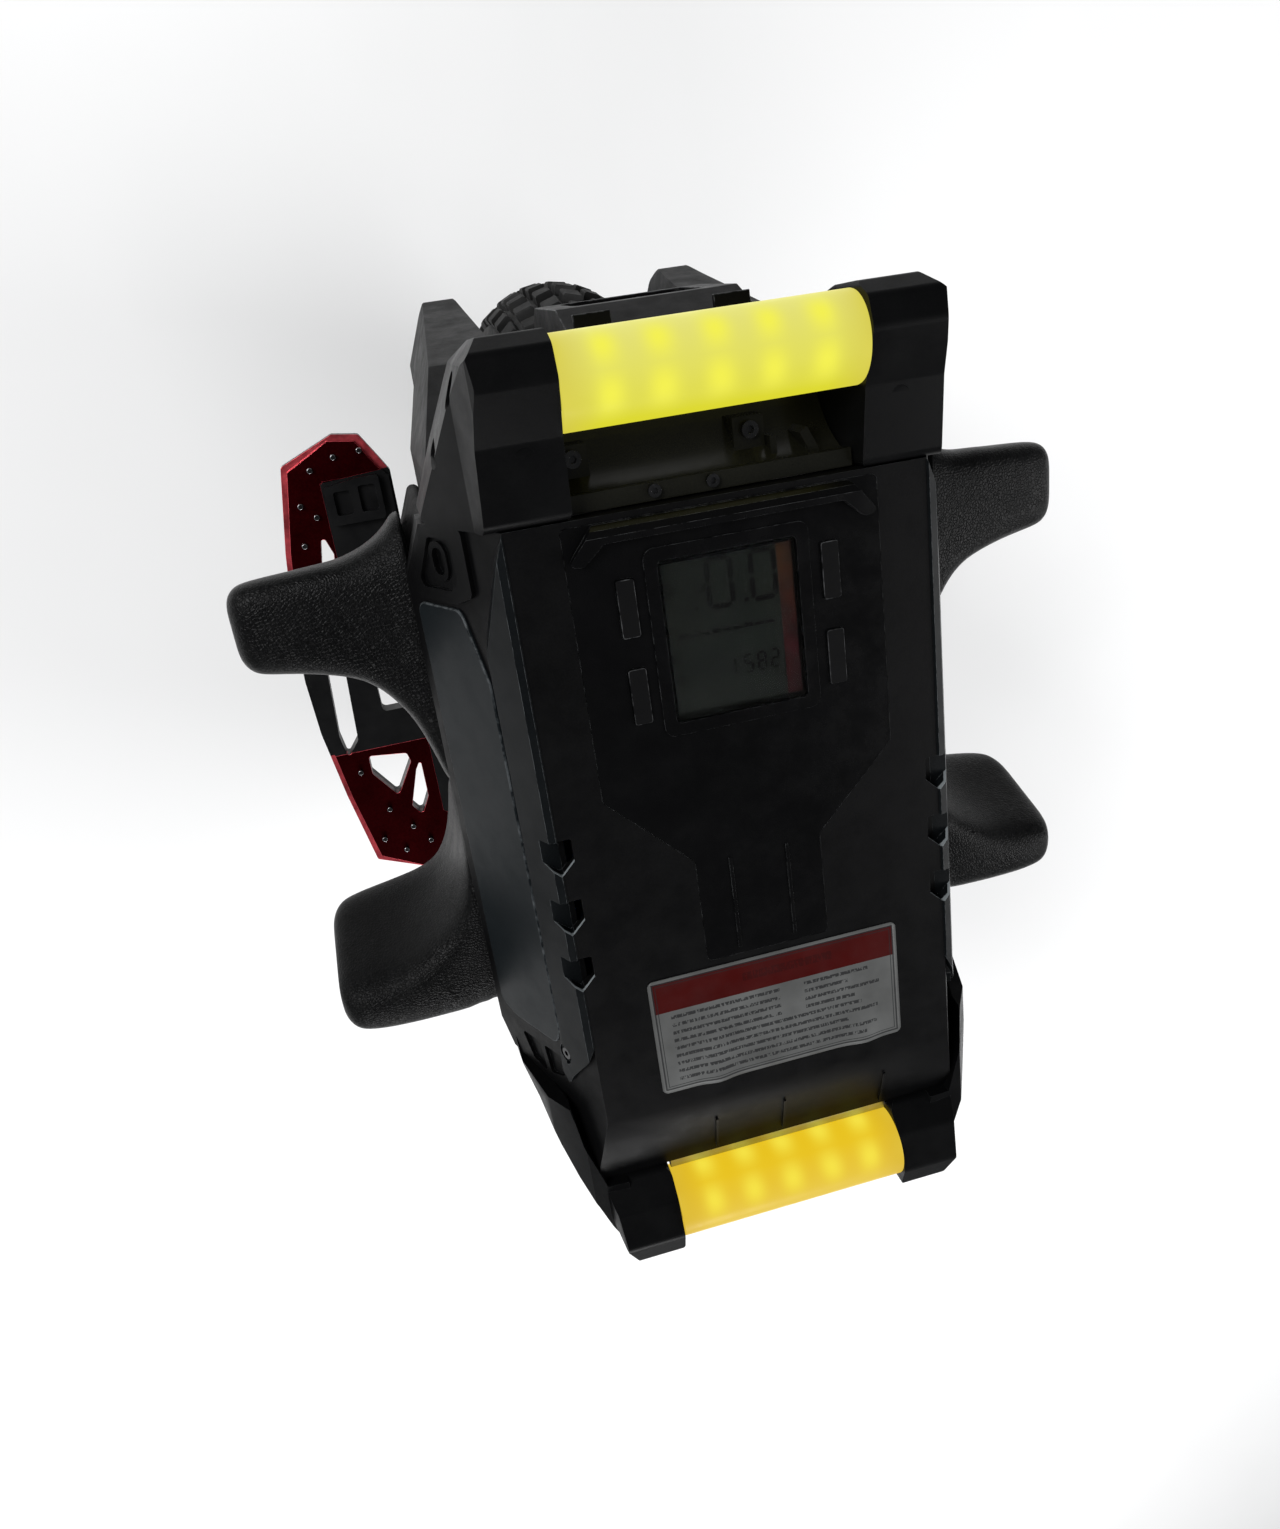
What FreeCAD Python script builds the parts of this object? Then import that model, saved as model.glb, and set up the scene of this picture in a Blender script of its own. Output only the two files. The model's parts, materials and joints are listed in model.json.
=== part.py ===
"""Electric unicycle: a large self-balancing wheel with a sprung fork, folding pedals, leg pads,
a display panel and two lit carry handles.

Frame: millimetres, +X to the rider's right, +Y forward, +Z up.  The origin is on the ground under
the middle of the body, halfway between the foremost point of the tyre and the tip of the rear flap.
Left parts are modelled at positive X and mirrored, because the two sides are alike.
"""

import math
import os

import FreeCAD
import Part

V = FreeCAD.Vector

# Wheel and axle
AXLE_Y = 18.0
TYRE_R = 254.0
TYRE_HALF_WIDTH = 46.0
RIM_SEAT_R = 184.0
RIM_HALF_WIDTH = 40.0
MOTOR_R = 158.0
MOTOR_SCREWS = 12
MOTOR_SCREW_R = 147.0
MOTOR_COVER_FACE = 38.5
BEARING_X = (32.0, 42.0)
BEARING_R = 19.15
STATOR_R = 140.0
STATOR_INNER_R = 92.0
STATOR_HALF_WIDTH = 21.0
STATOR_SLOTS = 18
AXLE_R = 10.0
AXLE_HALF_LENGTH = 56.0
TRAVEL = 80.0

# Fork
FORK_X = 76.0
STANCHION_R = 12.0
RUNNING_FIT = 0.05
SLIDER_HALF_HEIGHT = 30.0
CHANNEL_TOP = 520.0
CHANNEL_HALF_LENGTH = 32.0
STANCHION_Z = (204.0, CHANNEL_TOP + 25.0)
SPRING_R = 17.5
SPRING_WIRE_R = 2.75
SPRING_TURNS = 9

# Body
DECK_Z = 655.0
SEAM_Z = 560.0
DECK_HALF_WIDTH = 99.0
SLOPE_TOP = (109.0, 636.0)
SLOPE_BOTTOM = (141.0, 569.0)
SLOPE_ANGLE = math.degrees(math.atan2(SLOPE_TOP[1] - SLOPE_BOTTOM[1], SLOPE_BOTTOM[0] - SLOPE_TOP[0]))
RAIL_SCREW = (2.5, -112.0, 2.2)
SHELL_FRONT = 170.0
SHELL_REAR = -200.0
WALL = 4.0
CASE_INNER = 54.0
CASE_OUTER = 122.0
CASE_OUTER_LOW = 106.0
CASE_FLOOR = 214.0
PAD_BASE_BOTTOM = 440.0
BAY_FLOOR = 262.0
BAYS_Y = ((AXLE_Y + 38.0, 152.0), (-150.0, AXLE_Y - 38.0))
PACK_CLEARANCE = 0.5
ARCH_Z = TYRE_R + TRAVEL
ARCH_R = TYRE_R + 8.0

# Handles
HANDLE_R = 20.0
HANDLE_BORE_R = 16.5
HANDLE_HALF_LENGTH = 67.0
BRACKET_INNER = HANDLE_HALF_LENGTH + 0.2
CORE_R = 11.0
CORE_HALF_LENGTH = 85.0
FRONT_HANDLE = (226.5, 655.0)
REAR_HANDLE = (-226.5, 639.0)
REAR_BRACKET_END = -259.0
REAR_FLAP_END = -272.0
ACCESSORY_HOLE = (229.5, 636.0)
ACCESSORY_HOLE_R = 4.0
ACCESSORY_FACE = 103.0
ACCESSORY_DEPTH = 14.0
GUARD_R = 55.0
LUG_TOP = 626.0
LUG_SCREWS = ((-59, 192), (25, 192))
LAMP_Z = (508.0, 556.0)
FLANGE_TOP = 647.0
FLANGE_SCREWS = ((-28, 175.5), (-1, 175.5))

# Deck and display panel
SCOOPS_Y = (13.5, -19.5, -52.5)
PANEL_HALF_WIDTH = 74.0
PANEL_THICKNESS = 3.0
WINDOW_HALF_WIDTH = 33.0
WINDOW_Y = (68.0, 146.0)
KEY_X = 48.7
KEY_SIZE = (8.5, 27.0)
KEY_CENTRES_Y = {"front": 127.0, "rear": 85.0}
KEY_CLEARANCE = 0.3
KEY_PROUD = 1.4
KEY_FOOT = 0.6
REAR_RIBS_X = (-38.0, 2.0, 62.0)
LABEL = (-67.0, 71.0, -139.0, -68.0)

# Leg pads, one row per outline: x, front at the top, front below, rear, top, bottom
FRONT_PAD = [
    (141.4, 172, 158, 14, 556, 444), (150, 162, 150, 50, 554, 447), (160, 156, 144, 70, 553, 450),
    (172, 153, 140, 83, 552, 452), (190, 151, 137, 91, 551, 455), (216, 150, 135, 96, 549, 459),
    (234, 148, 134, 98, 546, 464),
]
REAR_PAD = [
    (141.4, -18, -4, -128, 556, 444), (147, -50, -38, -128, 556, 446), (156, -66, -54, -128, 556, 450),
    (167, -77, -61, -128, 557, 453), (189, -92, -64, -128, 557, 457), (212, -95, -66, -127, 556, 461),
    (230, -96, -69, -124, 553, 467),
]

# Pedals
PEDAL_AXIS = (126.0, 213.0)
PEDAL_TOP = 223.0
PEDAL_BOTTOM = 207.0
PEDAL_SPLIT = 214.0
PEDAL_CUT_Z = (190.0, 240.0)
PEDAL_CENTRE_Y = 2.0
PEDAL_MIDDLE_X = 184.0
PEDAL_END = 150.0
PIN_R = 5.0
KNUCKLE_R = 9.0
LUG_Y = (62.0, 78.0)
STUD_R = 2.2
STUD_HEIGHT = 3.5

GAP = 0.3


def corner_arc(before, corner, after, radius):
    """Tangent points and middle point of the arc that rounds one corner of an outline."""
    to_before = (before - corner).normalize()
    to_after = (after - corner).normalize()
    half = to_before.getAngle(to_after) / 2
    reach = radius / math.tan(half)
    reach = min(reach, 0.45 * (before - corner).Length, 0.45 * (after - corner).Length)
    used = reach * math.tan(half)
    bisector = (to_before + to_after).normalize()
    centre = corner + bisector * (used / math.sin(half))
    return corner + to_before * reach, centre - bisector * used, corner + to_after * reach


def outline(points, radius):
    """A flat face through 3-D points, with every corner rounded to the radius given."""
    if radius <= 0:
        return Part.Face(Part.makePolygon(points + [points[0]]))
    count = len(points)
    arcs = []
    for i in range(count):
        arcs.append(corner_arc(points[i - 1], points[i], points[(i + 1) % count], radius))
    edges = []
    for i in range(count):
        start, middle, end = arcs[i]
        edges.append(Part.Arc(start, middle, end).toShape())
        following = arcs[(i + 1) % count][0]
        if (following - end).Length > 1e-6:
            edges.append(Part.LineSegment(end, following).toShape())
    return Part.Face(Part.Wire(edges))


def prism_x(points, x0, x1, radius=0.0):
    """An outline given as (y, z) pairs, extruded along X."""
    face = outline([V(x0, y, z) for y, z in points], radius)
    return face.extrude(V(x1 - x0, 0, 0))


def prism_y(points, y0, y1, radius=0.0):
    """An outline given as (x, z) pairs, extruded along Y."""
    face = outline([V(x, y0, z) for x, z in points], radius)
    return face.extrude(V(0, y1 - y0, 0))


def prism_z(points, z0, z1, radius=0.0):
    """An outline given as (x, y) pairs, extruded along Z."""
    face = outline([V(x, y, z0) for x, y in points], radius)
    return face.extrude(V(0, 0, z1 - z0))


def block(x0, x1, y0, y1, z0, z1):
    return Part.makeBox(x1 - x0, y1 - y0, z1 - z0, V(x0, y0, z0))


def rectangle(a0, a1, b0, b1):
    """Corners of a rectangle, for the outline of a prism."""
    return [(a0, b0), (a1, b0), (a1, b1), (a0, b1)]


def hexagon(radius):
    """Corners of a hexagon about the origin."""
    angles = [math.radians(60 * i) for i in range(6)]
    return [(radius * math.cos(angle), radius * math.sin(angle)) for angle in angles]


def rod_x(radius, x0, x1, y, z):
    return Part.makeCylinder(radius, x1 - x0, V(x0, y, z), V(1, 0, 0))


def rod_y(radius, y0, y1, x, z):
    return Part.makeCylinder(radius, y1 - y0, V(x, y0, z), V(0, 1, 0))


def rod_z(radius, z0, z1, x, y):
    return Part.makeCylinder(radius, z1 - z0, V(x, y, z0), V(0, 0, 1))


def common(first, *others):
    for other in others:
        first = first.common(other)
    return first


def cut(shape, *tools):
    return shape.cut(list(tools))


def mirrored(shape):
    return shape.mirror(V(0, 0, 0), V(1, 0, 0))


def revolve_x(points, y, z):
    """A closed (x, radius) outline, turned about the X axis through (y, z)."""
    face = outline([V(x, y, z + radius) for x, radius in points], 0)
    return face.revolve(V(0, y, z), V(1, 0, 0), 360)


def save(name, shape):
    """Writes one node; a node of several solids is written as a compound."""
    solids = shape.Solids
    body = solids[0] if len(solids) == 1 else Part.Compound(solids)
    if not body.isValid():
        raise RuntimeError(name + " is not a valid shape")
    body.exportStep(os.path.join("parts", name + ".step"))


def save_pair(name, shape):
    """Writes a side part twice: right as modelled, left mirrored."""
    save("right_" + name, shape)
    save("left_" + name, mirrored(shape))


def save_corner_pair(place, name, shape):
    save(place + "_right_" + name, shape)
    save(place + "_left_" + name, mirrored(shape))


# ---------------------------------------------------------------- wheel


def tyre(rim_shape):
    """Hollow tyre: crown and sidewalls outside, an air space inside, beads on the rim."""
    shoulder = TYRE_HALF_WIDTH - 4
    outside = [
        V(-35, 0, 181), V(-36.5, 0, 193), V(-TYRE_HALF_WIDTH, 0, 216), V(-shoulder, 0, 236),
        V(0, 0, TYRE_R), V(shoulder, 0, 236), V(TYRE_HALF_WIDTH, 0, 216), V(36.5, 0, 193), V(35, 0, 181),
    ]
    inside = [
        V(22, 0, 176), V(26, 0, 192), V(37, 0, 212), V(0, 0, 243),
        V(-37, 0, 212), V(-26, 0, 192), V(-22, 0, 176),
    ]
    edges = [
        Part.LineSegment(outside[0], outside[1]).toShape(),
        Part.Arc(outside[1], outside[2], outside[3]).toShape(),
        Part.Arc(outside[3], outside[4], outside[5]).toShape(),
        Part.Arc(outside[5], outside[6], outside[7]).toShape(),
        Part.LineSegment(outside[7], outside[8]).toShape(),
        Part.LineSegment(outside[8], inside[0]).toShape(),
        Part.LineSegment(inside[0], inside[1]).toShape(),
        Part.LineSegment(inside[1], inside[2]).toShape(),
        Part.Arc(inside[2], inside[3], inside[4]).toShape(),
        Part.LineSegment(inside[4], inside[5]).toShape(),
        Part.LineSegment(inside[5], inside[6]).toShape(),
        Part.LineSegment(inside[6], outside[0]).toShape(),
    ]
    ring = Part.Face(Part.Wire(edges)).revolve(V(0, 0, 0), V(1, 0, 0), 360)
    ring.translate(V(0, AXLE_Y, TYRE_R))
    return cut(ring, rim_shape)


def rim():
    """One-piece rim and motor drum; the magnets are bonded inside the drum."""
    w = RIM_HALF_WIDTH
    half = [(w, 160), (w, 193), (w - 3, 193), (w - 4, RIM_SEAT_R), (20, 177)]
    left_half = [(-x, r) for x, r in reversed(half)]
    drum = [(-w, 160), (-w + 8, 160), (-w + 8, 150), (w - 8, 150), (w - 8, 160)]
    return revolve_x(half + left_half + drum[1:], AXLE_Y, TYRE_R)


def motor_screw_places():
    """Screw centres of a motor cover, as (y, z)."""
    places = []
    for i in range(MOTOR_SCREWS):
        angle = math.radians(360 / MOTOR_SCREWS * (i + 0.5))
        places.append((AXLE_Y + MOTOR_SCREW_R * math.cos(angle), TYRE_R + MOTOR_SCREW_R * math.sin(angle)))
    return places


def around_axle(shape, count):
    """Copies of a shape made about the X axis, evenly spaced about the axle."""
    copies = []
    for i in range(count):
        turned = shape.copy()
        turned.rotate(V(0, 0, 0), V(1, 0, 0), 360 / count * i)
        turned.translate(V(0, AXLE_Y, TYRE_R))
        copies.append(turned)
    return copies


def motor_cover():
    """Right motor cover: a dished plate with a raised hub, a ring of ribs and a bearing seat."""
    seat = BEARING_R + RUNNING_FIT
    face = MOTOR_COVER_FACE
    profile = [
        (32, seat), (43, seat), (43, 34), (37, 44), (36, 120), (face, 140), (face, MOTOR_R),
        (32, MOTOR_R), (32, 132), (30, 118), (30, 44),
    ]
    plate = revolve_x(profile, AXLE_Y, TYRE_R)
    holes = [rod_x(2.65, 30, 40, y, z) for y, z in motor_screw_places()]
    pockets = around_axle(prism_x([(-11, 58), (11, 58), (23, 108), (-23, 108)], 35, 40, 5), 6)
    return cut(plate, *holes, *pockets)


def bearings():
    """Two deep-groove bearings between the motor covers and the axle."""
    section = rectangle(*BEARING_X, AXLE_R + RUNNING_FIT, BEARING_R)
    one = revolve_x(section, AXLE_Y, TYRE_R)
    return Part.Compound([one, mirrored(one)])


def stator():
    """Stator: a laminated ring with open winding slots, on a spoked hub clamped to the axle."""
    half = STATOR_HALF_WIDTH
    ring = revolve_x(rectangle(-half, half, STATOR_INNER_R, STATOR_R), AXLE_Y, TYRE_R)
    slots = around_axle(block(-half, half, -7, 7, STATOR_INNER_R + 12, STATOR_R + 1), STATOR_SLOTS)
    web = rod_x(STATOR_INNER_R + 1, -4, 4, AXLE_Y, TYRE_R)
    hub = rod_x(26, -half, half, AXLE_Y, TYRE_R)
    windows = around_axle(rod_x(16, -5, 5, 0, 60), 6)
    body = cut(ring, *slots).multiFuse([web, hub])
    return cut(body, rod_x(AXLE_R, -half, half, AXLE_Y, TYRE_R), *windows)


def axle():
    """Hollow axle; the motor leads run through its bore."""
    shaft = rod_x(AXLE_R, -AXLE_HALF_LENGTH, AXLE_HALF_LENGTH, AXLE_Y, TYRE_R)
    return cut(shaft, rod_x(4, -AXLE_HALF_LENGTH, AXLE_HALF_LENGTH, AXLE_Y, TYRE_R))


# ---------------------------------------------------------------- fork


def slider():
    """Block that clamps the axle end and runs on the stanchion."""
    low = TYRE_R - SLIDER_HALF_HEIGHT
    high = TYRE_R + SLIDER_HALF_HEIGHT
    profile = [(44.5, low + 8), (56, low), (95, low), (95, high), (56, high), (44.5, high - 8)]
    body = prism_y(profile, AXLE_Y - 24, AXLE_Y + 24, 4)
    bore = rod_z(STANCHION_R + RUNNING_FIT, low - 1, high + 1, FORK_X, AXLE_Y)
    return cut(body, bore, rod_x(AXLE_R, 44, AXLE_HALF_LENGTH, AXLE_Y, TYRE_R))


def stanchion():
    """Steel tube that the slider runs on, held in the case floor and in the top of the channel."""
    return rod_z(STANCHION_R, *STANCHION_Z, FORK_X, AXLE_Y)


def spring():
    """Compression spring between the slider and the top of the channel."""
    bottom = TYRE_R + SLIDER_HALF_HEIGHT + SPRING_WIRE_R + 0.2
    height = CHANNEL_TOP - SPRING_WIRE_R - 0.2 - bottom
    path = Part.makeHelix(height / SPRING_TURNS, height, SPRING_R)
    section = Part.Wire(Part.makeCircle(SPRING_WIRE_R, V(SPRING_R, 0, 0), V(0, 1, 0)))
    coil = Part.Wire(path).makePipeShell([section], True, True)
    coil.translate(V(FORK_X, AXLE_Y, bottom))
    return coil


# ---------------------------------------------------------------- body


def side_case():
    """Battery case beside the wheel, with a nose that reaches past the front of the tyre."""
    side = [
        (-200, SEAM_Z), (188, SEAM_Z), (234, 470), (262, 348), (269, 320), (262, 300),
        (176, 256), (118, CASE_FLOOR), (-84, CASE_FLOOR), (-152, 250), (-214, 360), (-222, 486),
    ]
    plan = [
        (CASE_INNER, -225), (96, -225), (CASE_OUTER, -192), (CASE_OUTER, 188), (91, 270), (71, 270),
        (CASE_INNER, 196),
    ]
    section = [
        (CASE_INNER, CASE_FLOOR), (CASE_OUTER_LOW, CASE_FLOOR), (CASE_OUTER_LOW, 344), (CASE_OUTER, 424),
        (CASE_OUTER, SEAM_Z), (CASE_INNER, SEAM_Z),
    ]
    body = common(
        prism_x(side, 40, 140, 9),
        prism_z(plan, 200, SEAM_Z, 5),
        prism_y(section, -240, 280),
    )
    reach = CHANNEL_HALF_LENGTH
    channel = block(CASE_INNER - 20, 99, AXLE_Y - reach, AXLE_Y + reach, CASE_FLOOR + 6, CHANNEL_TOP)
    bays = [block(CASE_INNER + WALL, CASE_OUTER_LOW - WALL, y0, y1, BAY_FLOOR, SEAM_Z) for y0, y1 in BAYS_Y]
    scallops = []
    for i in range(4):
        low = 450 + 24 * i
        scallops.append(block(CASE_OUTER - 3, CASE_OUTER + 1, -190, -172, low, low + 12))
    grooves = []
    for y0, y1 in ((60, 150), (-140, -40)):
        grooves.append(prism_x([(y0, 236), (y1, 250), (y1, 256), (y0, 242)], CASE_OUTER_LOW - 2, 140))
    fork_hole = rod_z(STANCHION_R, *STANCHION_Z, FORK_X, AXLE_Y)
    return cut(body, channel, fork_hole, *bays, *scallops, *grooves)


def battery():
    """Cell packs of one side: a front and a rear block in the bays of the case."""
    packs = []
    x0 = CASE_INNER + WALL + PACK_CLEARANCE
    x1 = CASE_OUTER_LOW - WALL - PACK_CLEARANCE
    for bay_rear, bay_front in sorted(BAYS_Y):
        y0 = bay_rear + PACK_CLEARANCE
        y1 = bay_front - PACK_CLEARANCE
        packs.append(prism_z(rectangle(x0, x1, y0, y1), BAY_FLOOR + PACK_CLEARANCE, SEAM_Z - 6, 5))
    return Part.Compound(packs)


def shell_section(inset=0.0):
    """Half outline of the upper body, seen from the front."""
    low_x, low_z = SLOPE_BOTTOM
    high_x, high_z = SLOPE_TOP
    return [
        (0, SEAM_Z), (low_x - inset, SEAM_Z), (low_x - inset, low_z - inset / 2),
        (high_x - inset, high_z - inset / 2), (DECK_HALF_WIDTH - inset, DECK_Z - inset), (0, DECK_Z - inset),
    ]


def both_sides(half):
    """Closes a half outline that starts and ends on X = 0 with its mirror image."""
    return half + [(-x, other) for x, other in reversed(half[1:-1])]


def shell_solid():
    """Outside of the upper body: sloped sides, prow-shaped front corners, a rear facet."""
    plan_half = [
        (0, SHELL_FRONT), (131, SHELL_FRONT), (SLOPE_BOTTOM[0], 142), (SLOPE_BOTTOM[0], -122),
        (137, -138), (116, -147), (113, -170), (104, SHELL_REAR), (0, SHELL_REAR),
    ]
    side = [
        (SHELL_REAR, SEAM_Z), (SHELL_FRONT, SEAM_Z), (SHELL_FRONT, DECK_Z),
        (-148.5, DECK_Z), (SHELL_REAR, 637),
    ]
    section = prism_y(both_sides(shell_section()), SHELL_REAR, SHELL_FRONT)
    return common(section, prism_z(both_sides(plan_half), SEAM_Z, DECK_Z), prism_x(side, -150, 150))


def arch_solid(radius, half_width):
    """Space swept by the tyre over its whole travel, as a cylinder above a slot."""
    round_top = rod_x(radius, -half_width, half_width, AXLE_Y, ARCH_Z)
    return round_top.fuse(block(-half_width, half_width, AXLE_Y - radius, AXLE_Y + radius, 0, ARCH_Z))


def panel_plan(inset):
    """Outline of the display panel: wide at the display, a neck between the two funnels."""
    wide = PANEL_HALF_WIDTH - inset
    neck = 33 - inset
    half = [
        (wide, SHELL_FRONT - 3 - inset), (wide, 36 + inset / 2),
        (neck, -6 + inset / 2), (neck, -64 + inset),
    ]
    return half + [(-x, y) for x, y in reversed(half)]


def key_plan(x, y, grow):
    """Outline of a key, grown by the distance given."""
    half_x = KEY_SIZE[0] / 2 + grow
    half_y = KEY_SIZE[1] / 2 + grow
    return rectangle(x - half_x, x + half_x, y - half_y, y + half_y)


def key_pocket(x, y, grow):
    """Slot for a key."""
    return prism_z(key_plan(x, y, grow), 630, 670, 1.5)


def key_places():
    return [(side * KEY_X, y) for side in (-1, 1) for y in KEY_CENTRES_Y.values()]


def scoop(y):
    """Pocket with a pointed rear end in the edge of the deck."""
    points = [(92, y - 4), (99, y - 11), (107, y - 4), (107, y + 8), (92, y + 8)]
    return prism_z(points, DECK_Z - 7, DECK_Z + 5, 1.2)


def rail_solid():
    """Bevelled strip along the edge of the deck, pointed at both ends."""
    section = [(95.5, 650), (99.5, 656.2), (103, 655.2), (113.4, 635.4), (111.2, 631), (105, 638)]
    plan = [(98, 172), (103, 158), (114, 110), (116, -96), (112, -126), (98, -96)]
    strip = common(prism_y(section, -130, SHELL_FRONT - GAP), prism_z(plan, 620, 665))
    foot_plan = [(-8, -86), (4, -92), (6, -101), (9, -113.5), (10, -127), (5, -133), (-5, -120)]
    foot = slope_plate(foot_plan, -3, 2.2, 1.5)
    return cut(strip.fuse(foot), rail_screw(0.0), rail_recess(), *[scoop(y) for y in SCOOPS_Y])


def socket_head(radius, height, socket_r):
    """Screw head along +Z from the origin, with a hexagon socket, and a short shank below."""
    head = rod_z(radius, 0, height, 0, 0)
    shank = rod_z(radius * 0.6, -height, 0, 0, 0)
    return cut(head.fuse(shank), prism_z(hexagon(socket_r), height * 0.4, height + 1))


def on_rail_foot(shape):
    """Puts a shape made along +Z at the origin on the foot of a side rail, square to the slope."""
    shape.rotate(V(0, 0, 0), V(0, 1, 0), SLOPE_ANGLE)
    shape.translate(slope_point(*RAIL_SCREW))
    return shape


def rail_screw(socket_r):
    """Screw in the foot of a side rail; without a socket it is the hole for it."""
    screw = rod_z(3.4, -5, 0.2, 0, 0)
    if socket_r > 0:
        screw = cut(screw, prism_z(hexagon(socket_r), -1.6, 2))
    return on_rail_foot(screw)


def rail_recess():
    """Round recess about the screw in the foot of a side rail."""
    return on_rail_foot(rod_z(5.6, -1.2, 4, 0, 0))


def slope_point(along, y, height):
    """A point on the sloped side: along the slope from its top edge, and height above it."""
    run = SLOPE_BOTTOM[0] - SLOPE_TOP[0]
    drop = SLOPE_TOP[1] - SLOPE_BOTTOM[1]
    length = math.hypot(run, drop)
    x = SLOPE_TOP[0] + (along * run + height * drop) / length
    z = SLOPE_TOP[1] + (height * run - along * drop) / length
    return V(x, y, z)


def slope_plate(points, low, high, radius):
    """An outline of (along, y) pairs on the sloped side, between two heights above it."""
    face = outline([slope_point(a, y, low) for a, y in points], radius)
    return face.extrude(slope_point(0, 0, high) - slope_point(0, 0, low))


def side_cover(grow=0.0):
    """Large plate over the sloped side."""
    plan = [(9, 96), (24, 131), (66, 131), (66, -106), (52, -111), (12, -111), (7, -100)]
    return slope_plate(plan, -3, 1.6 + grow, 7)


def rear_pockets():
    """Two shallow pockets in the slope behind the side cover, with a rib between them."""
    return [
        slope_plate([(13, -121), (30, -121), (27, -139), (13, -134)], -2, 4, 2),
        slope_plate([(34, -121), (52, -121), (44, -137), (31, -140)], -2, 4, 2),
    ]


def controller():
    """Sealed controller under the deck, with cooling fins on its upper side."""
    box = prism_z([(-58, -70), (58, -70), (58, 58), (-58, 58)], 604, 632, 6)
    fins = []
    for i in range(12):
        x = -49.5 + 9 * i
        fins.append(block(x - 1.25, x + 1.25, -60, 48, 632, 644))
    return box.multiFuse(fins)


def top_shell(rails, brackets):
    """Cover over the whole upper body, open underneath; everything on the deck sits in it."""
    tools = [
        shell_cavity(),
        arch_solid(ARCH_R + 3, CASE_INNER),
        prism_z(panel_plan(-0.2), DECK_Z - PANEL_THICKNESS, DECK_Z + 1, 3),
        block(-40, 40, WINDOW_Y[0] - 7, WINDOW_Y[1] + 7, 640, DECK_Z),
    ]
    for x, y in key_places():
        tools.append(key_pocket(x, y, 1.0))
    side_tools = [side_cover(1.0), rail_screw(0.0)] + [scoop(y) for y in SCOOPS_Y] + rear_pockets()
    side_tools.append(gusset_oval())
    tools += side_tools + [mirrored(tool) for tool in side_tools]
    ribs = [common(block(x - 0.7, x + 0.7, -196, -170, 630, 660), rear_facet_skin()) for x in REAR_RIBS_X]
    return cut(cut(shell_solid(), *tools).multiFuse(ribs), *rails, *brackets)


def shell_cavity():
    """Space inside the upper body, open underneath; thicker walls stand beside the rear corners."""
    front = SHELL_FRONT - WALL
    rear = SHELL_REAR + WALL
    plan_half = [
        (0, front), (126, front), (136, 139), (136, -115), (126, -119), (126, -136), (111, -142),
        (108, -168), (99, rear), (0, rear),
    ]
    side = [(rear, 550), (front, 550), (front, 650), (-146, 650), (rear, 631)]
    return common(
        prism_y(both_sides(shell_section(WALL + 1)), rear, front),
        prism_x(side, -150, 150),
        prism_z(both_sides(plan_half), 540, 660),
    )


def rear_facet_skin():
    """Thin layer over the sloping rear facet of the deck."""
    return prism_x([(-150, 654), (-150, 656.3), (SHELL_REAR, 638.5), (SHELL_REAR, 636)], -90, 90)


def display_panel():
    """Control panel: a window recess, four key slots, a rounded lip in front and ribs on the neck."""
    plate = prism_z(panel_plan(0.0), DECK_Z - PANEL_THICKNESS, DECK_Z, 3)
    w = WINDOW_HALF_WIDTH + 6
    y0, y1 = WINDOW_Y
    frame_outer = prism_z(rectangle(-w, w, y0 - 6, y1 + 6), DECK_Z - 1, DECK_Z + 0.8, 5)
    ribs = [block(x - 0.8, x + 0.8, -60, -8, DECK_Z - 1, DECK_Z + 0.9) for x in (-15, 15)]
    w = WINDOW_HALF_WIDTH
    window = prism_z(rectangle(-w, w, y0, y1), 640, 670, 2.5)
    keys = [key_pocket(x, y, KEY_CLEARANCE) for x, y in key_places()]
    return cut(plate.multiFuse([panel_lip(), frame_outer] + ribs), window, *keys)


def panel_lip():
    """Bar along the front edge of the panel, rounded in section, its ends swept back."""
    w = PANEL_HALF_WIDTH - 1
    front = SHELL_FRONT - 3.5
    plan = [
        (-w, front - 16), (-w + 13, front), (w - 13, front), (w, front - 16), (w - 7, front - 17),
        (w - 17, front - 8), (-w + 17, front - 8), (-w + 7, front - 17),
    ]
    section = [
        (front - 18, DECK_Z - 1), (front - 18, DECK_Z + 3), (front - 5, DECK_Z + 5.5),
        (front - 2, DECK_Z + 4), (front, DECK_Z + 0.5), (front, DECK_Z - 1),
    ]
    return common(prism_z(plan, DECK_Z - 1, DECK_Z + 6, 2.5), prism_x(section, -w, w))


def display_lens():
    """Clear window of the display."""
    w = WINDOW_HALF_WIDTH - 0.2
    y0, y1 = WINDOW_Y
    return prism_z(rectangle(-w, w, y0 + 0.2, y1 - 0.2), DECK_Z - 2.4, DECK_Z - 0.2, 2.3)


def lcd_module():
    """Display glass on its circuit board, with the key switches beside it."""
    y0, y1 = WINDOW_Y
    glass = block(-31, 31, y0 + 3, y1 - 3, 648, DECK_Z - 2.6)
    board = block(-39, 39, y0 - 6, y1 + 6, 642, 644)
    frame = block(-34, 34, y0 - 2, y1 + 2, 644, 648)
    return glass.multiFuse([board, frame])


def key(x, y):
    """One key of the panel: a cap with a wider foot under the panel that stops it coming out."""
    under = DECK_Z - PANEL_THICKNESS
    cap = prism_z(key_plan(x, y, 0.0), under - 1, DECK_Z + KEY_PROUD, 1.3)
    foot = prism_z(key_plan(x, y, KEY_FOOT), under - 3, under - 0.3, 1.6)
    return cap.fuse(foot)


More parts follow.
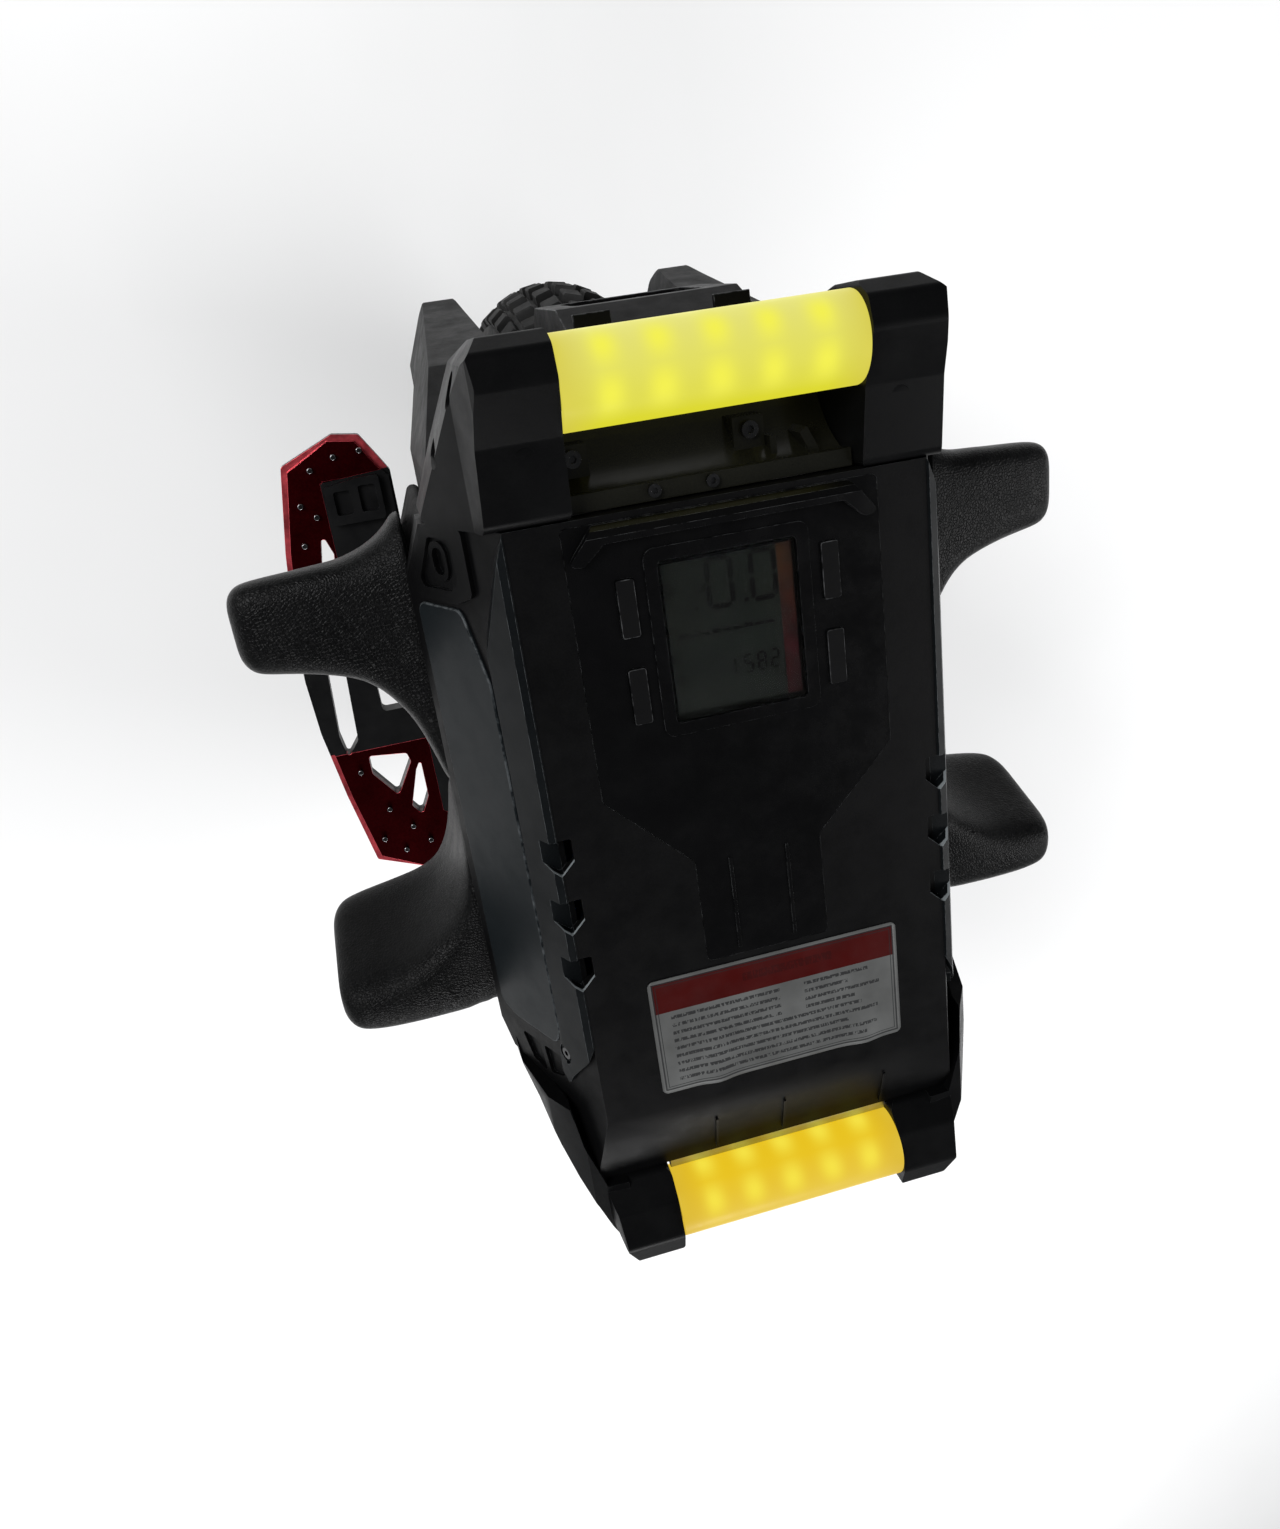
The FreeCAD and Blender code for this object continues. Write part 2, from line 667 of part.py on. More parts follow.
def label_plate():
    """Thin rectangular label on the deck behind the panel."""
    return prism_z(rectangle(*LABEL), DECK_Z, DECK_Z + 0.4, 3)


def mudguard():
    """Inner fender that follows the tyre at full travel and closes the wheel well."""
    w = CASE_INNER - GAP
    return cut(
        rod_x(ARCH_R + 2.5, -w, w, AXLE_Y, ARCH_Z),
        rod_x(ARCH_R, -w, w, AXLE_Y, ARCH_Z),
        block(-w, w, -400, 400, 0, 400),
        block(-w, w, AXLE_Y + 212, 400, 0, 700),
    )


def gusset():
    """Raised frame on the slope behind the bracket: a diagonal strut, a pocket and an oval recess."""
    rim = [(8, SHELL_FRONT + 1), (8, 139), (24, 134), (58, 134), (64, 141), (44, SHELL_FRONT + 1)]
    pocket = [(19, 165), (19, 145), (27, 140), (52, 140), (55, 144), (40, 165)]
    plate = slope_plate(rim, -2, 2.4, 4)
    oval_rim = slope_plate([(27, 163), (27, 144), (43, 144), (43, 163)], -2, 1.6, 7)
    framed = cut(plate, slope_plate(pocket, 0.2, 4, 3))
    return cut(framed.fuse(common(oval_rim, slope_plate(pocket, -2, 4, 3))), gusset_oval())


def gusset_oval():
    """Oval recess in the gusset."""
    return slope_plate([(30, 160), (30, 147), (40, 147), (40, 160)], -1.2, 4, 4.9)


def front_bracket():
    """Right front handle bracket: a thick arm that widens into a gusset at the body."""
    side = [
        (SHELL_FRONT, SEAM_Z), (SHELL_FRONT, 656), (206, 664), (230, 676), (243, 672), (249, 660),
        (248, 636), (240, 606), (206, 576),
    ]
    plan = [(BRACKET_INNER, SHELL_FRONT), (131, SHELL_FRONT), (104, 240), (95, 250), (BRACKET_INNER, 250)]
    section = [(60, 690), (96, 690), (103, 671), (109, 642), (133, 592), (133, SEAM_Z), (60, SEAM_Z)]
    body = common(prism_x(side, 60, 140, 6), prism_z(plan, 550, 700, 4), prism_y(section, 160, 260, 5))
    slot = prism_x([(196, 622), (204, 622), (209, 598), (201, 598)], 110, 140, 3.5)
    dimple = rod_z(4.5, 663, 690, 84, 200)
    y, z = ACCESSORY_HOLE
    hole = rod_x(ACCESSORY_HOLE_R, ACCESSORY_FACE - ACCESSORY_DEPTH, 140, y, z)
    spot_face = rod_x(7.5, ACCESSORY_FACE, 140, y, z)
    core = rod_x(CORE_R, 0, CORE_HALF_LENGTH, *FRONT_HANDLE)
    arm = cut(body, slot, dimple, hole, spot_face, core)
    return arm.fuse(cut(gusset(), block(60, 105, 120, SHELL_FRONT, 600, 670)))


def rear_bracket():
    """Right rear handle bracket: a tapering arm with a rounded tip behind the rear handle."""
    end = REAR_BRACKET_END
    side = [
        (SHELL_REAR, SEAM_Z), (SHELL_REAR, 640), (-214, 653), (-236, 658), (-252, 651), (end, 636),
        (end + 1, 620), (-246, 600), (-222, 572),
    ]
    plan = [
        (BRACKET_INNER, SHELL_REAR), (110, SHELL_REAR), (101, -236), (93, end + 4), (84, end),
        (BRACKET_INNER, end + 8),
    ]
    section = [(60, 670), (96, 670), (103, 650), (118, 600), (118, SEAM_Z), (60, SEAM_Z)]
    body = common(prism_x(side, 60, 140, 7), prism_z(plan, 550, 700, 5), prism_y(section, -280, -190, 4))
    core = rod_x(CORE_R, 0, CORE_HALF_LENGTH, *REAR_HANDLE)
    return cut(body.fuse(rear_corner()), core)


def rear_corner():
    """Part of the rear bracket that wraps the rear corner of the body, outside the upper shell."""
    plan = [
        (136, -124), (136, -141), (130, -155), (124, -178), (118, -196), (111, -212), (101, -240), (92, -240),
        (92, SHELL_REAR), (104, SHELL_REAR), (113, -170), (116, -147), (131, -140), (131, -124),
    ]
    section = [(60, SEAM_Z), (137, SEAM_Z), (135, 590), (126, 622), (112, 643), (60, 646)]
    side = [
        (-124, SEAM_Z), (-124, 578), (-141, 584), (-148, 636), (SHELL_REAR, 652), (-240, 640), (-228, SEAM_Z),
    ]
    return common(prism_z(plan, SEAM_Z, 660), prism_y(section, -250, -120), prism_x(side, 60, 140))


def handle_tube(place):
    """Translucent tube around the lights, which the hand goes round."""
    y, z = place
    half = HANDLE_HALF_LENGTH
    return cut(rod_x(HANDLE_R, -half, half, y, z), rod_x(HANDLE_BORE_R, -half, half, y, z))


def handle_core(place):
    """Aluminium bar that carries the load of the handle."""
    return rod_x(CORE_R, -CORE_HALF_LENGTH, CORE_HALF_LENGTH, *place)


def led_strip(place):
    """Two circuit strips on the core with a row of lamps on each."""
    y, z = place
    strips = []
    for angle in (-35, 35):
        strip = block(-62, 62, -5, 5, CORE_R, CORE_R + 1.4)
        lamps = [block(x - 2.5, x + 2.5, -2.5, 2.5, CORE_R + 1, CORE_R + 3) for x in range(-50, 51, 25)]
        one = strip.multiFuse(lamps)
        one.rotate(V(0, 0, 0), V(1, 0, 0), angle)
        one.translate(V(0, y, z))
        strips.append(one)
    return Part.Compound(strips)


def front_guard():
    """Curved guard behind and below the front handle, with a flange, two screw lugs and two ribs."""
    y, z = FRONT_HANDLE
    w = HANDLE_HALF_LENGTH - 1
    outside = rod_x(GUARD_R, -w, w, y, z)
    sheet = cut(outside, rod_x(GUARD_R - 3, -w, w, y, z))
    sector = prism_x([(y, z), (y - 90, z - 14), (y - 90, z - 90), (y + 4, z - 90)], -w, w)
    flange = block(-w, w, 171, 179, FLANGE_TOP - 7, FLANGE_TOP)
    lugs = [block(max(x - 7.5, -w), x + 7.5, 178, 198, LUG_TOP - 20, LUG_TOP) for x, _ in LUG_SCREWS]
    ribs = [
        prism_z([(46, 188), (50, 190), (57, 175), (53, 173)], 612, 636),
        block(33, 36, 175, 188, 612, 632),
    ]
    holes = [rod_z(2.45, LUG_TOP - 26, LUG_TOP + 1, x, hole_y) for x, hole_y in LUG_SCREWS]
    holes += [rod_z(1.85, FLANGE_TOP - 8, FLANGE_TOP + 1, x, hole_y) for x, hole_y in FLANGE_SCREWS]
    spot_faces = [rod_z(5, LUG_TOP, LUG_TOP + 19, x, hole_y) for x, hole_y in LUG_SCREWS]
    inside = cut(outside, block(-w, w, 100, 400, z - 3, 800))
    mounts = [common(part, inside) for part in lugs + ribs]
    return cut(common(sheet, sector).multiFuse(mounts + [flange]), *holes, *spot_faces)


def headlight():
    """Lamp housing under the front handle, hollow, open in front."""
    side = [(176, 592), (244, 590), (254, 566), (256, 502), (246, 490), (216, 536), (184, 566)]
    body = prism_x(side, -46, 46, 4)
    hollow = prism_y(rectangle(-34, 34, *LAMP_Z), 236, 260, 6)
    tabs = [block(x - 9, x + 9, 236, 251, 590, 593) for x in (-34, 34)]
    return cut(body.multiFuse(tabs), hollow)


def headlight_lens():
    """Clear cover of the headlight."""
    low, high = LAMP_Z
    return prism_y(rectangle(-34 + GAP, 34 - GAP, low + GAP, high - GAP), 246, 253, 5.8)


def tail_light():
    """Brake light under the rear handle, on the rear wall of the body."""
    return prism_y([(-48, 584), (48, 584), (42, 606), (-42, 606)], -207, SHELL_REAR, 5)


def rear_cover():
    """Closing panel behind the wheel well, between the two cases, with a spray flap below."""
    w = CASE_INNER - GAP
    end = REAR_FLAP_END
    side = [
        (SHELL_REAR + 2, SEAM_Z - 1), (SHELL_REAR - 6, SEAM_Z - 1), (-252, 470), (end, 380),
        (end + 4, 380), (-248, 468),
    ]
    return prism_x(side, -w, w)


def pad_base():
    """Foam-backed plate on the side of the case that carries the leg pads."""
    face = SLOPE_BOTTOM[0]
    plan = [(CASE_OUTER, 186), (face, 140), (face, -124), (135, -146), (CASE_OUTER, -168)]
    return prism_z(plan, PAD_BASE_BOTTOM, SEAM_Z, 4)


def pad(stations):
    """Leg pad as a loft through side outlines, one for each distance from the wheel."""
    wires = []
    for x, front_top, front_low, rear, top, low in stations:
        inset = 0.2 * (top - low)
        points = [
            V(x, front_top, top), V(x, front_low, low + inset), V(x, front_low - 8, low),
            V(x, rear + 8, low), V(x, rear, low + inset), V(x, rear + 2, top),
        ]
        wires.append(Part.makePolygon(points + [points[0]]))
    return Part.makeLoft(wires, True, True)


# ---------------------------------------------------------------- pedals


def pedal_plan():
    """Outline of the pedal: a bowed outer edge and chamfered ends."""
    y = PEDAL_CENTRE_Y
    front = [(132, y + 150), (139, y + 162), (152, y + 183), (172, y + 186), (214, y + 168)]
    outer = [(226, y + 104), (234, y + 46), (236, y), (234, y - 46), (226, y - 104)]
    rear = [(x, 2 * y - yy) for x, yy in reversed(front)]
    return front + outer + rear


def pedal_windows():
    """Openings through the pedal: a long slot, one in the middle and two in the rear end plate."""
    y = PEDAL_CENTRE_Y
    long_slot = [
        (196, y + 116), (207, y + 60), (217, y + 4), (220, y - 50), (217, y - 70), (206, y - 56),
        (203, y + 4), (190, y + 98),
    ]
    middle = [(154, y - 36), (181, y - 36), (181, y + 62), (172, y + 84), (154, y + 84)]
    rear_outer = [(201, y - 72), (170, y - 76), (168, y - 84), (184, y - 112), (201, y - 88)]
    rear_inner = [(160, y - 84), (165, y - 92), (175, y - 124), (168, y - 134), (160, y - 118)]
    rounded = ((long_slot, 2), (middle, 4), (rear_outer, 2.5), (rear_inner, 2.5))
    return [prism_z(points, *PEDAL_CUT_Z, radius) for points, radius in rounded]


def end_regions():
    """Space above the frame that the two coloured end plates of a pedal fill."""
    y = PEDAL_CENTRE_Y
    front = [(188, y + 74), (188, y + 152), (130, y + 156), (130, y + 200), (245, y + 200), (245, y + 74)]
    rear = [(150, y - 66), (245, y - 66), (245, y - 200), (130, y - 200), (130, y - 150), (150, y - 134)]
    return [prism_z(points, PEDAL_SPLIT, PEDAL_CUT_Z[1]) for points in (front, rear)]


def pedal_blank():
    """Pedal plate with its windows, its long outer edges bevelled."""
    plate = prism_z(pedal_plan(), PEDAL_BOTTOM, PEDAL_TOP, 3)
    bevel = common(plate, prism_z(offset_plan(4), PEDAL_TOP - 4, PEDAL_TOP))
    lower = common(plate, block(100, 300, -300, 300, PEDAL_BOTTOM, PEDAL_TOP - 4))
    return cut(lower.fuse(bevel), *pedal_windows())


def offset_plan(inset):
    """The pedal outline shrunk towards its centre line, and its ends towards its middle."""
    shrunk = []
    for x, y in pedal_plan():
        along = y - PEDAL_CENTRE_Y
        if abs(along) > PEDAL_END:
            along -= math.copysign(inset, along)
        shrunk.append((x - math.copysign(inset, x - PEDAL_MIDDLE_X), PEDAL_CENTRE_Y + along))
    return shrunk


def pedal():
    """Black frame of the pedal: its lower half runs under the end plates, up to the hinge knuckle."""
    blank = cut(pedal_blank(), *end_regions())
    axis_x, axis_z = PEDAL_AXIS
    knuckle = rod_y(KNUCKLE_R, -LUG_Y[0] + GAP, LUG_Y[0] - GAP, axis_x, axis_z)
    web = block(axis_x, 140, -LUG_Y[0] + GAP, LUG_Y[0] - GAP, PEDAL_BOTTOM, PEDAL_TOP - 2)
    block_plan = [(144, 122), (186, 122), (186, 151), (160, 155), (144, 155)]
    hinge_block = prism_z(block_plan, PEDAL_TOP - 2, PEDAL_TOP + 8, 3)
    pockets = [
        prism_z([(148, 129), (161, 129), (161, 149), (148, 149)], PEDAL_TOP + 3, PEDAL_TOP + 9, 2),
        prism_z([(167, 129), (180, 129), (180, 147), (167, 147)], PEDAL_TOP + 3, PEDAL_TOP + 9, 2),
    ]
    body = cut(blank.multiFuse([knuckle, web, hinge_block]), *pockets)
    clear = []
    for y0, y1 in (LUG_Y, (-LUG_Y[1], -LUG_Y[0])):
        clear.append(block(100, 140, y0 - GAP, y1 + GAP, *PEDAL_CUT_Z))
    bore = rod_y(PIN_R + RUNNING_FIT, -200, 200, axis_x, axis_z)
    return cut(body, bore, *clear, hinge_side())


def hinge_side():
    """Strips beside the lugs that the pedal leaves free."""
    front = block(100, 134, LUG_Y[1], 300, *PEDAL_CUT_Z)
    return front.fuse(block(100, 134, -300, -LUG_Y[1], *PEDAL_CUT_Z))


def pedal_ends():
    """Anodised front and rear end plates, on top of the frame."""
    blank = pedal_blank()
    hinge_block_space = block(143.8, 186.2, 121.8, 155.2, PEDAL_TOP - 2, 240)
    ends = [cut(common(blank, region), hinge_side(), hinge_block_space) for region in end_regions()]
    return Part.Compound([solid for end in ends for solid in end.Solids])


def pedal_studs():
    """Grip studs on the end plates."""
    y = PEDAL_CENTRE_Y
    front = [(154, y + 172), (174, y + 170), (193, y + 163), (206, y + 138), (196, y + 128), (210, y + 108)]
    rear = [(210, y - 84), (194, y - 122), (178, y - 142), (204, y - 148), (188, y - 162), (166, y - 158)]
    studs = [rod_z(STUD_R, PEDAL_TOP, PEDAL_TOP + STUD_HEIGHT, x, yy) for x, yy in front + rear]
    return Part.Compound(studs)


def pedal_hanger():
    """Bracket under the case with two lugs that hold the pedal pin."""
    axis_x, axis_z = PEDAL_AXIS
    plate = prism_x([(-92, 196), (92, 196), (86, 240), (-86, 240)], CASE_OUTER_LOW + 0.2, 112, 5)
    foot = block(60, 112, -92, 92, 196, CASE_FLOOR - 0.2)
    lugs = []
    for y0, y1 in (LUG_Y, (-LUG_Y[1], -LUG_Y[0])):
        lugs.append(rod_y(10, y0, y1, axis_x, axis_z))
        lugs.append(block(108, axis_x, y0, y1, axis_z - 10, axis_z + 7))
    body = plate.multiFuse([foot] + lugs)
    pin = rod_y(PIN_R, -LUG_Y[1], LUG_Y[1], axis_x, axis_z)
    return cut(body, pin, rod_z(STANCHION_R, 190, 230, FORK_X, AXLE_Y))


def pedal_pin():
    axis_x, axis_z = PEDAL_AXIS
    return rod_y(PIN_R, -LUG_Y[1], LUG_Y[1], axis_x, axis_z)


def cover_screws():
    """Socket screws of the side rails and of the guard lugs."""
    screws = [rail_screw(1.7), mirrored(rail_screw(1.7))]
    for x, y in LUG_SCREWS:
        screw = socket_head(4, 3, 2)
        screw.translate(V(x, y, LUG_TOP))
        screws.append(screw)
    for x, y in FLANGE_SCREWS:
        screw = socket_head(3, 2.2, 1.5)
        screw.translate(V(x, y, FLANGE_TOP))
        screws.append(screw)
    return Part.Compound(screws)


def motor_screws():
    """Ring of screws that closes each motor cover."""
    face = MOTOR_COVER_FACE
    screws = []
    for y, z in motor_screw_places():
        screw = rod_x(2.6, 33, face, y, z).fuse(rod_x(4.4, face, face + 2.5, y, z))
        socket = rod_x(1.8, face + 0.8, face + 3, y, z)
        screws.append(cut(screw, socket))
    return Part.Compound(screws + [mirrored(screw) for screw in screws])


def rear_trim():
    """Bright strip across the rear wall of the body, whose top closes most of the gap to the rear handle."""
    w = HANDLE_HALF_LENGTH - 1
    lip = REAR_HANDLE[0] + HANDLE_R + 1
    section = [(SHELL_REAR, 622), (SHELL_REAR, 636.5), (lip, 636), (lip, 630), (-203.5, 624)]
    return prism_x(section, -w, w)


def main():
    os.makedirs("parts", exist_ok=True)
    rim_shape = rim()
    save("rim", rim_shape)
    save("tyre", tyre(rim_shape))
    save_pair("motor_cover", motor_cover())
    save("wheel_bearings", bearings())
    save("motor_screws", motor_screws())
    save("stator", stator())
    save("axle", axle())
    save_pair("slider", slider())
    save("stanchions", Part.Compound([stanchion(), mirrored(stanchion())]))
    save("fork_springs", Part.Compound([spring(), mirrored(spring())]))
    save_pair("case", side_case())
    save("battery_packs", Part.Compound([battery(), mirrored(battery())]))
    save("controller", controller())
    right_rail = rail_solid()
    front = front_bracket()
    rear = rear_bracket()
    rails = [right_rail, mirrored(right_rail)]
    brackets = [front, mirrored(front), rear, mirrored(rear)]
    save("top_shell", top_shell(rails, brackets))
    save_pair("side_rail", right_rail)
    save_pair("side_cover", side_cover())
    save_corner_pair("front", "bracket", front)
    save_corner_pair("rear", "bracket", rear)
    save("display_panel", display_panel())
    save("display_lens", display_lens())
    save("lcd_module", lcd_module())
    save("label_plate", label_plate())
    for end, y in KEY_CENTRES_Y.items():
        save(end + "_right_key", key(KEY_X, y))
        save(end + "_left_key", key(-KEY_X, y))
    save("mudguard", mudguard())
    save("rear_cover", rear_cover())
    save("rear_trim", rear_trim())
    for end, place in (("front", FRONT_HANDLE), ("rear", REAR_HANDLE)):
        save(end + "_handle_tube", handle_tube(place))
    save("handle_cores", Part.Compound([handle_core(FRONT_HANDLE), handle_core(REAR_HANDLE)]))
    save("led_strips", Part.Compound([led_strip(FRONT_HANDLE), led_strip(REAR_HANDLE)]))
    save("front_guard", front_guard())
    save("headlight", headlight())
    save("headlight_lens", headlight_lens())
    save("tail_light", tail_light())
    save_pair("pad_base", pad_base())
    save_corner_pair("front", "pad", pad(FRONT_PAD))
    save_corner_pair("rear", "pad", pad(REAR_PAD))
    save_pair("pedal", pedal())
    save_pair("pedal_ends", pedal_ends())
    save_pair("pedal_studs", pedal_studs())
    save_pair("pedal_hanger", pedal_hanger())
    save("pedal_pins", Part.Compound([pedal_pin(), mirrored(pedal_pin())]))
    save("cover_screws", cover_screws())


main()
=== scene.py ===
import json
import math

import bmesh
import bpy
import numpy as np
from mathutils import Matrix, Vector

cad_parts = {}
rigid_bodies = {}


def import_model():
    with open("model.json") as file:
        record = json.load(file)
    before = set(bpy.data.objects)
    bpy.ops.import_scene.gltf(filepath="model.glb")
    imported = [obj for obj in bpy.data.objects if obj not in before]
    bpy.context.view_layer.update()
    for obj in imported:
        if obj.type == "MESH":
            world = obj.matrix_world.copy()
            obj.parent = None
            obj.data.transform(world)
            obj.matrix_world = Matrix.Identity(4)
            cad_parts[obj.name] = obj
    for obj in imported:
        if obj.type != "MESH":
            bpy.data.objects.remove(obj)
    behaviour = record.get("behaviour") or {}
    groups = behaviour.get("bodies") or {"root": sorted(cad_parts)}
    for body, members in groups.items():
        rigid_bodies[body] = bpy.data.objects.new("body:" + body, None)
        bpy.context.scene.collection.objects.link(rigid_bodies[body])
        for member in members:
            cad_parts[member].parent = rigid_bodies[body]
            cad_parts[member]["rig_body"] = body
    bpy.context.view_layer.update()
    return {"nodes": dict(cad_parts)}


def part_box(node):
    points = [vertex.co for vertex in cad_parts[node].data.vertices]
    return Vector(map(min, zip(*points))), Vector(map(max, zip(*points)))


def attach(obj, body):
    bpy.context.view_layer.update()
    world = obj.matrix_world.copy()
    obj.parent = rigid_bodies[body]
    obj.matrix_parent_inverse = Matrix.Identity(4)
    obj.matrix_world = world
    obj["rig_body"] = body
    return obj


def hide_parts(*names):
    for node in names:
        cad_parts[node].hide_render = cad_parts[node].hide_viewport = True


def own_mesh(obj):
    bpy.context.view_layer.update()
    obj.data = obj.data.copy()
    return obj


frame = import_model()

NODES = frame["nodes"]
MM = 0.001
SIDES = ("right", "left")
CORNERS = ("front_right", "front_left", "rear_right", "rear_left")

# The edge of the deck, where the side rails bend down and the scoops are cut; these place the painted
# highlight on the scoops' rims
DECK_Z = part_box("label_plate")[0].z
RAIL_EDGE_Z = DECK_Z + 0.2 * MM
RAIL_TOP_Z = DECK_Z + 0.8 * MM
RAIL_BEND_X = 103 * MM
RAIL_DROP = 1.9
SCOOP_INNER_X = 91.5 * MM
SCOOPS_MIDDLE_Y = -20 * MM
SCOOPS_HALF_Y = 48 * MM
SCOOP_RIM_TALL = 2.6 * MM

# The ledge round the pedals' ends, whose flat tops get a painted highlight
PEDAL_LEDGE = 4 * MM

# Handle tubes: the distance between two lamps, and where the light fades towards an end, in metres
LAMP_PITCH = 0.0236
TUBE_FADE_X = (0.050, 0.067)


# ---------------------------------------------------------------- material helpers


class Surface:
    """One node material: a Principled shader, object coordinates, and short calls that add to it."""

    def __init__(self, name, roughness=0.5, metallic=0.0, specular=0.5):
        self.material = bpy.data.materials.new(name)
        self.material.use_nodes = True
        self.tree = self.material.node_tree
        self.tree.nodes.clear()
        self.shader = self.tree.nodes.new("ShaderNodeBsdfPrincipled")
        output = self.tree.nodes.new("ShaderNodeOutputMaterial")
        self.link(self.shader.outputs[0], output.inputs[0])
        self.coords = self.tree.nodes.new("ShaderNodeTexCoord").outputs["Object"]
        self.shader.inputs["Roughness"].default_value = roughness
        self.shader.inputs["Metallic"].default_value = metallic
        self.shader.inputs["Specular IOR Level"].default_value = specular

    def link(self, output, target):
        self.tree.links.new(output, target)

    def put(self, value, target):
        """A number, a colour or another node's output, into a socket."""
        if isinstance(value, bpy.types.NodeSocket):
            self.link(value, target)
        elif isinstance(value, (tuple, list)) and len(value) == 3 and target.type == "RGBA":
            target.default_value = (*value, 1.0)
        else:
            target.default_value = value

    def math(self, operation, first, second=0.5, third=0.5):
        node = self.tree.nodes.new("ShaderNodeMath")
        node.operation = operation
        self.put(first, node.inputs[0])
        self.put(second, node.inputs[1])
        self.put(third, node.inputs[2])
        return node.outputs[0]

    def remap(self, value, low, high, new_low=0.0, new_high=1.0):
        node = self.tree.nodes.new("ShaderNodeMapRange")
        self.link(value, node.inputs["Value"])
        node.inputs["From Min"].default_value = low
        node.inputs["From Max"].default_value = high
        node.inputs["To Min"].default_value = new_low
        node.inputs["To Max"].default_value = new_high
        return node.outputs[0]

    def mix(self, share, first, second):
        node = self.tree.nodes.new("ShaderNodeMix")
        node.data_type = "RGBA"
        self.put(share, node.inputs["Factor"])
        self.put(first, node.inputs["A"])
        self.put(second, node.inputs["B"])
        return node.outputs["Result"]

    def stretched(self, scale):
        node = self.tree.nodes.new("ShaderNodeMapping")
        self.link(self.coords, node.inputs["Vector"])
        node.inputs["Scale"].default_value = scale
        return node.outputs[0]

    def noise(self, scale, detail=3.0, roughness=0.5, coords=None):
        """Noise whose features are about 1 / scale metres."""
        node = self.tree.nodes.new("ShaderNodeTexNoise")
        self.link(coords or self.coords, node.inputs["Vector"])
        node.inputs["Scale"].default_value = scale
        node.inputs["Detail"].default_value = detail
        node.inputs["Roughness"].default_value = roughness
        return node.outputs["Fac"]

    def cells(self, scale, feature="F1"):
        node = self.tree.nodes.new("ShaderNodeTexVoronoi")
        self.link(self.coords, node.inputs["Vector"])
        node.feature = feature
        node.inputs["Scale"].default_value = scale
        return node.outputs["Distance"]

    def axis(self, letter):
        node = self.tree.nodes.new("ShaderNodeSeparateXYZ")
        self.link(self.coords, node.inputs[0])
        return node.outputs[letter]

    def edge(self):
        """1 on the rounded edges that soften() makes, 0 elsewhere."""
        node = self.tree.nodes.new("ShaderNodeAttribute")
        node.attribute_name = "edge"
        return node.outputs["Fac"]

    def facing(self, letter):
        """How far the surface faces along one axis, from -1 to 1."""
        node = self.tree.nodes.new("ShaderNodeSeparateXYZ")
        self.link(self.tree.nodes.new("ShaderNodeNewGeometry").outputs["True Normal"], node.inputs[0])
        return node.outputs[letter]

    def colour(self, value):
        self.put(value, self.shader.inputs["Base Color"])

    def roughness(self, value):
        self.put(value, self.shader.inputs["Roughness"])

    def bump(self, height, distance, strength=1.0):
        """Adds relief; a second call goes on top of the first."""
        node = self.tree.nodes.new("ShaderNodeBump")
        node.inputs["Strength"].default_value = strength
        node.inputs["Distance"].default_value = distance
        self.link(height, node.inputs["Height"])
        target = self.shader.inputs["Normal"]
        if target.is_linked:
            self.link(target.links[0].from_socket, node.inputs["Normal"])
        self.link(node.outputs[0], target)


def scoop_highlight_mask(s):
    """Where the scoops' rims get a painted highlight: 1 on the top of the rear walls of the scoops in the
    edge of the deck, 0 elsewhere.
    """
    out = s.math("ABSOLUTE", s.axis("X"))
    slope = s.math("MULTIPLY", s.math("SUBTRACT", out, RAIL_BEND_X), -RAIL_DROP)
    rim = s.math("MINIMUM", s.math("ADD", slope, RAIL_EDGE_Z), RAIL_TOP_Z)
    high = s.math("GREATER_THAN", s.axis("Z"), s.math("SUBTRACT", rim, SCOOP_RIM_TALL))
    forward = s.math("GREATER_THAN", s.facing("Y"), 0.3)
    from_middle = s.math("ABSOLUTE", s.math("SUBTRACT", s.axis("Y"), SCOOPS_MIDDLE_Y))
    along = s.math("LESS_THAN", from_middle, SCOOPS_HALF_Y)
    beside = s.math("GREATER_THAN", out, SCOOP_INNER_X)
    return s.math("MULTIPLY", s.math("MULTIPLY", high, forward), s.math("MULTIPLY", along, beside))


def coated(name, base, second, grain, relief, rough, worn_and_highlight=None, wear_and_highlight_strength=0.5, rim=None, **shader):
    """Painted or moulded surface: uneven colour, a grain of the given size, and lighter edges that are part
    wear and part painted highlight.
    """
    s = Surface(name, **shader)
    cloud = s.remap(s.noise(22, 4, 0.6), 0.3, 0.7)
    speckle = s.remap(s.noise(1 / grain, 2), 0.35, 0.65)
    shade = s.mix(s.math("MULTIPLY", cloud, 0.7), base, second)
    lighter = tuple(min(1.0, c * 1.6 + 0.0004) for c in second)
    shade = s.mix(s.math("MULTIPLY", speckle, 0.3), shade, lighter)
    smudge = s.remap(s.noise(55, 5, 0.65), 0.35, 0.7, rough[0], rough[1])
    # Lighter rounded edges: part wear, part a painted highlight where the edges catch the light.
    if worn_and_highlight:
        wear_and_glint_noise = s.remap(s.noise(160, 4, 0.7), 0.42, 0.62)
        mask = s.math("MULTIPLY", s.math("MULTIPLY", s.edge(), wear_and_glint_noise), wear_and_highlight_strength)
        shade = s.mix(mask, shade, worn_and_highlight)
        smudge = s.math("SUBTRACT", smudge, s.math("MULTIPLY", mask, 0.15))
    # Painted highlight along the tops of the scoops' rear walls, in the colour given as rim.
    if rim:
        shade = s.mix(s.math("MULTIPLY", scoop_highlight_mask(s), 0.9), shade, rim)
    s.colour(shade)
    s.roughness(smudge)
    s.bump(s.noise(1 / grain, 3, 0.6), relief)
    s.bump(s.noise(90, 2), relief * 2.5, 0.4)
    return s.material


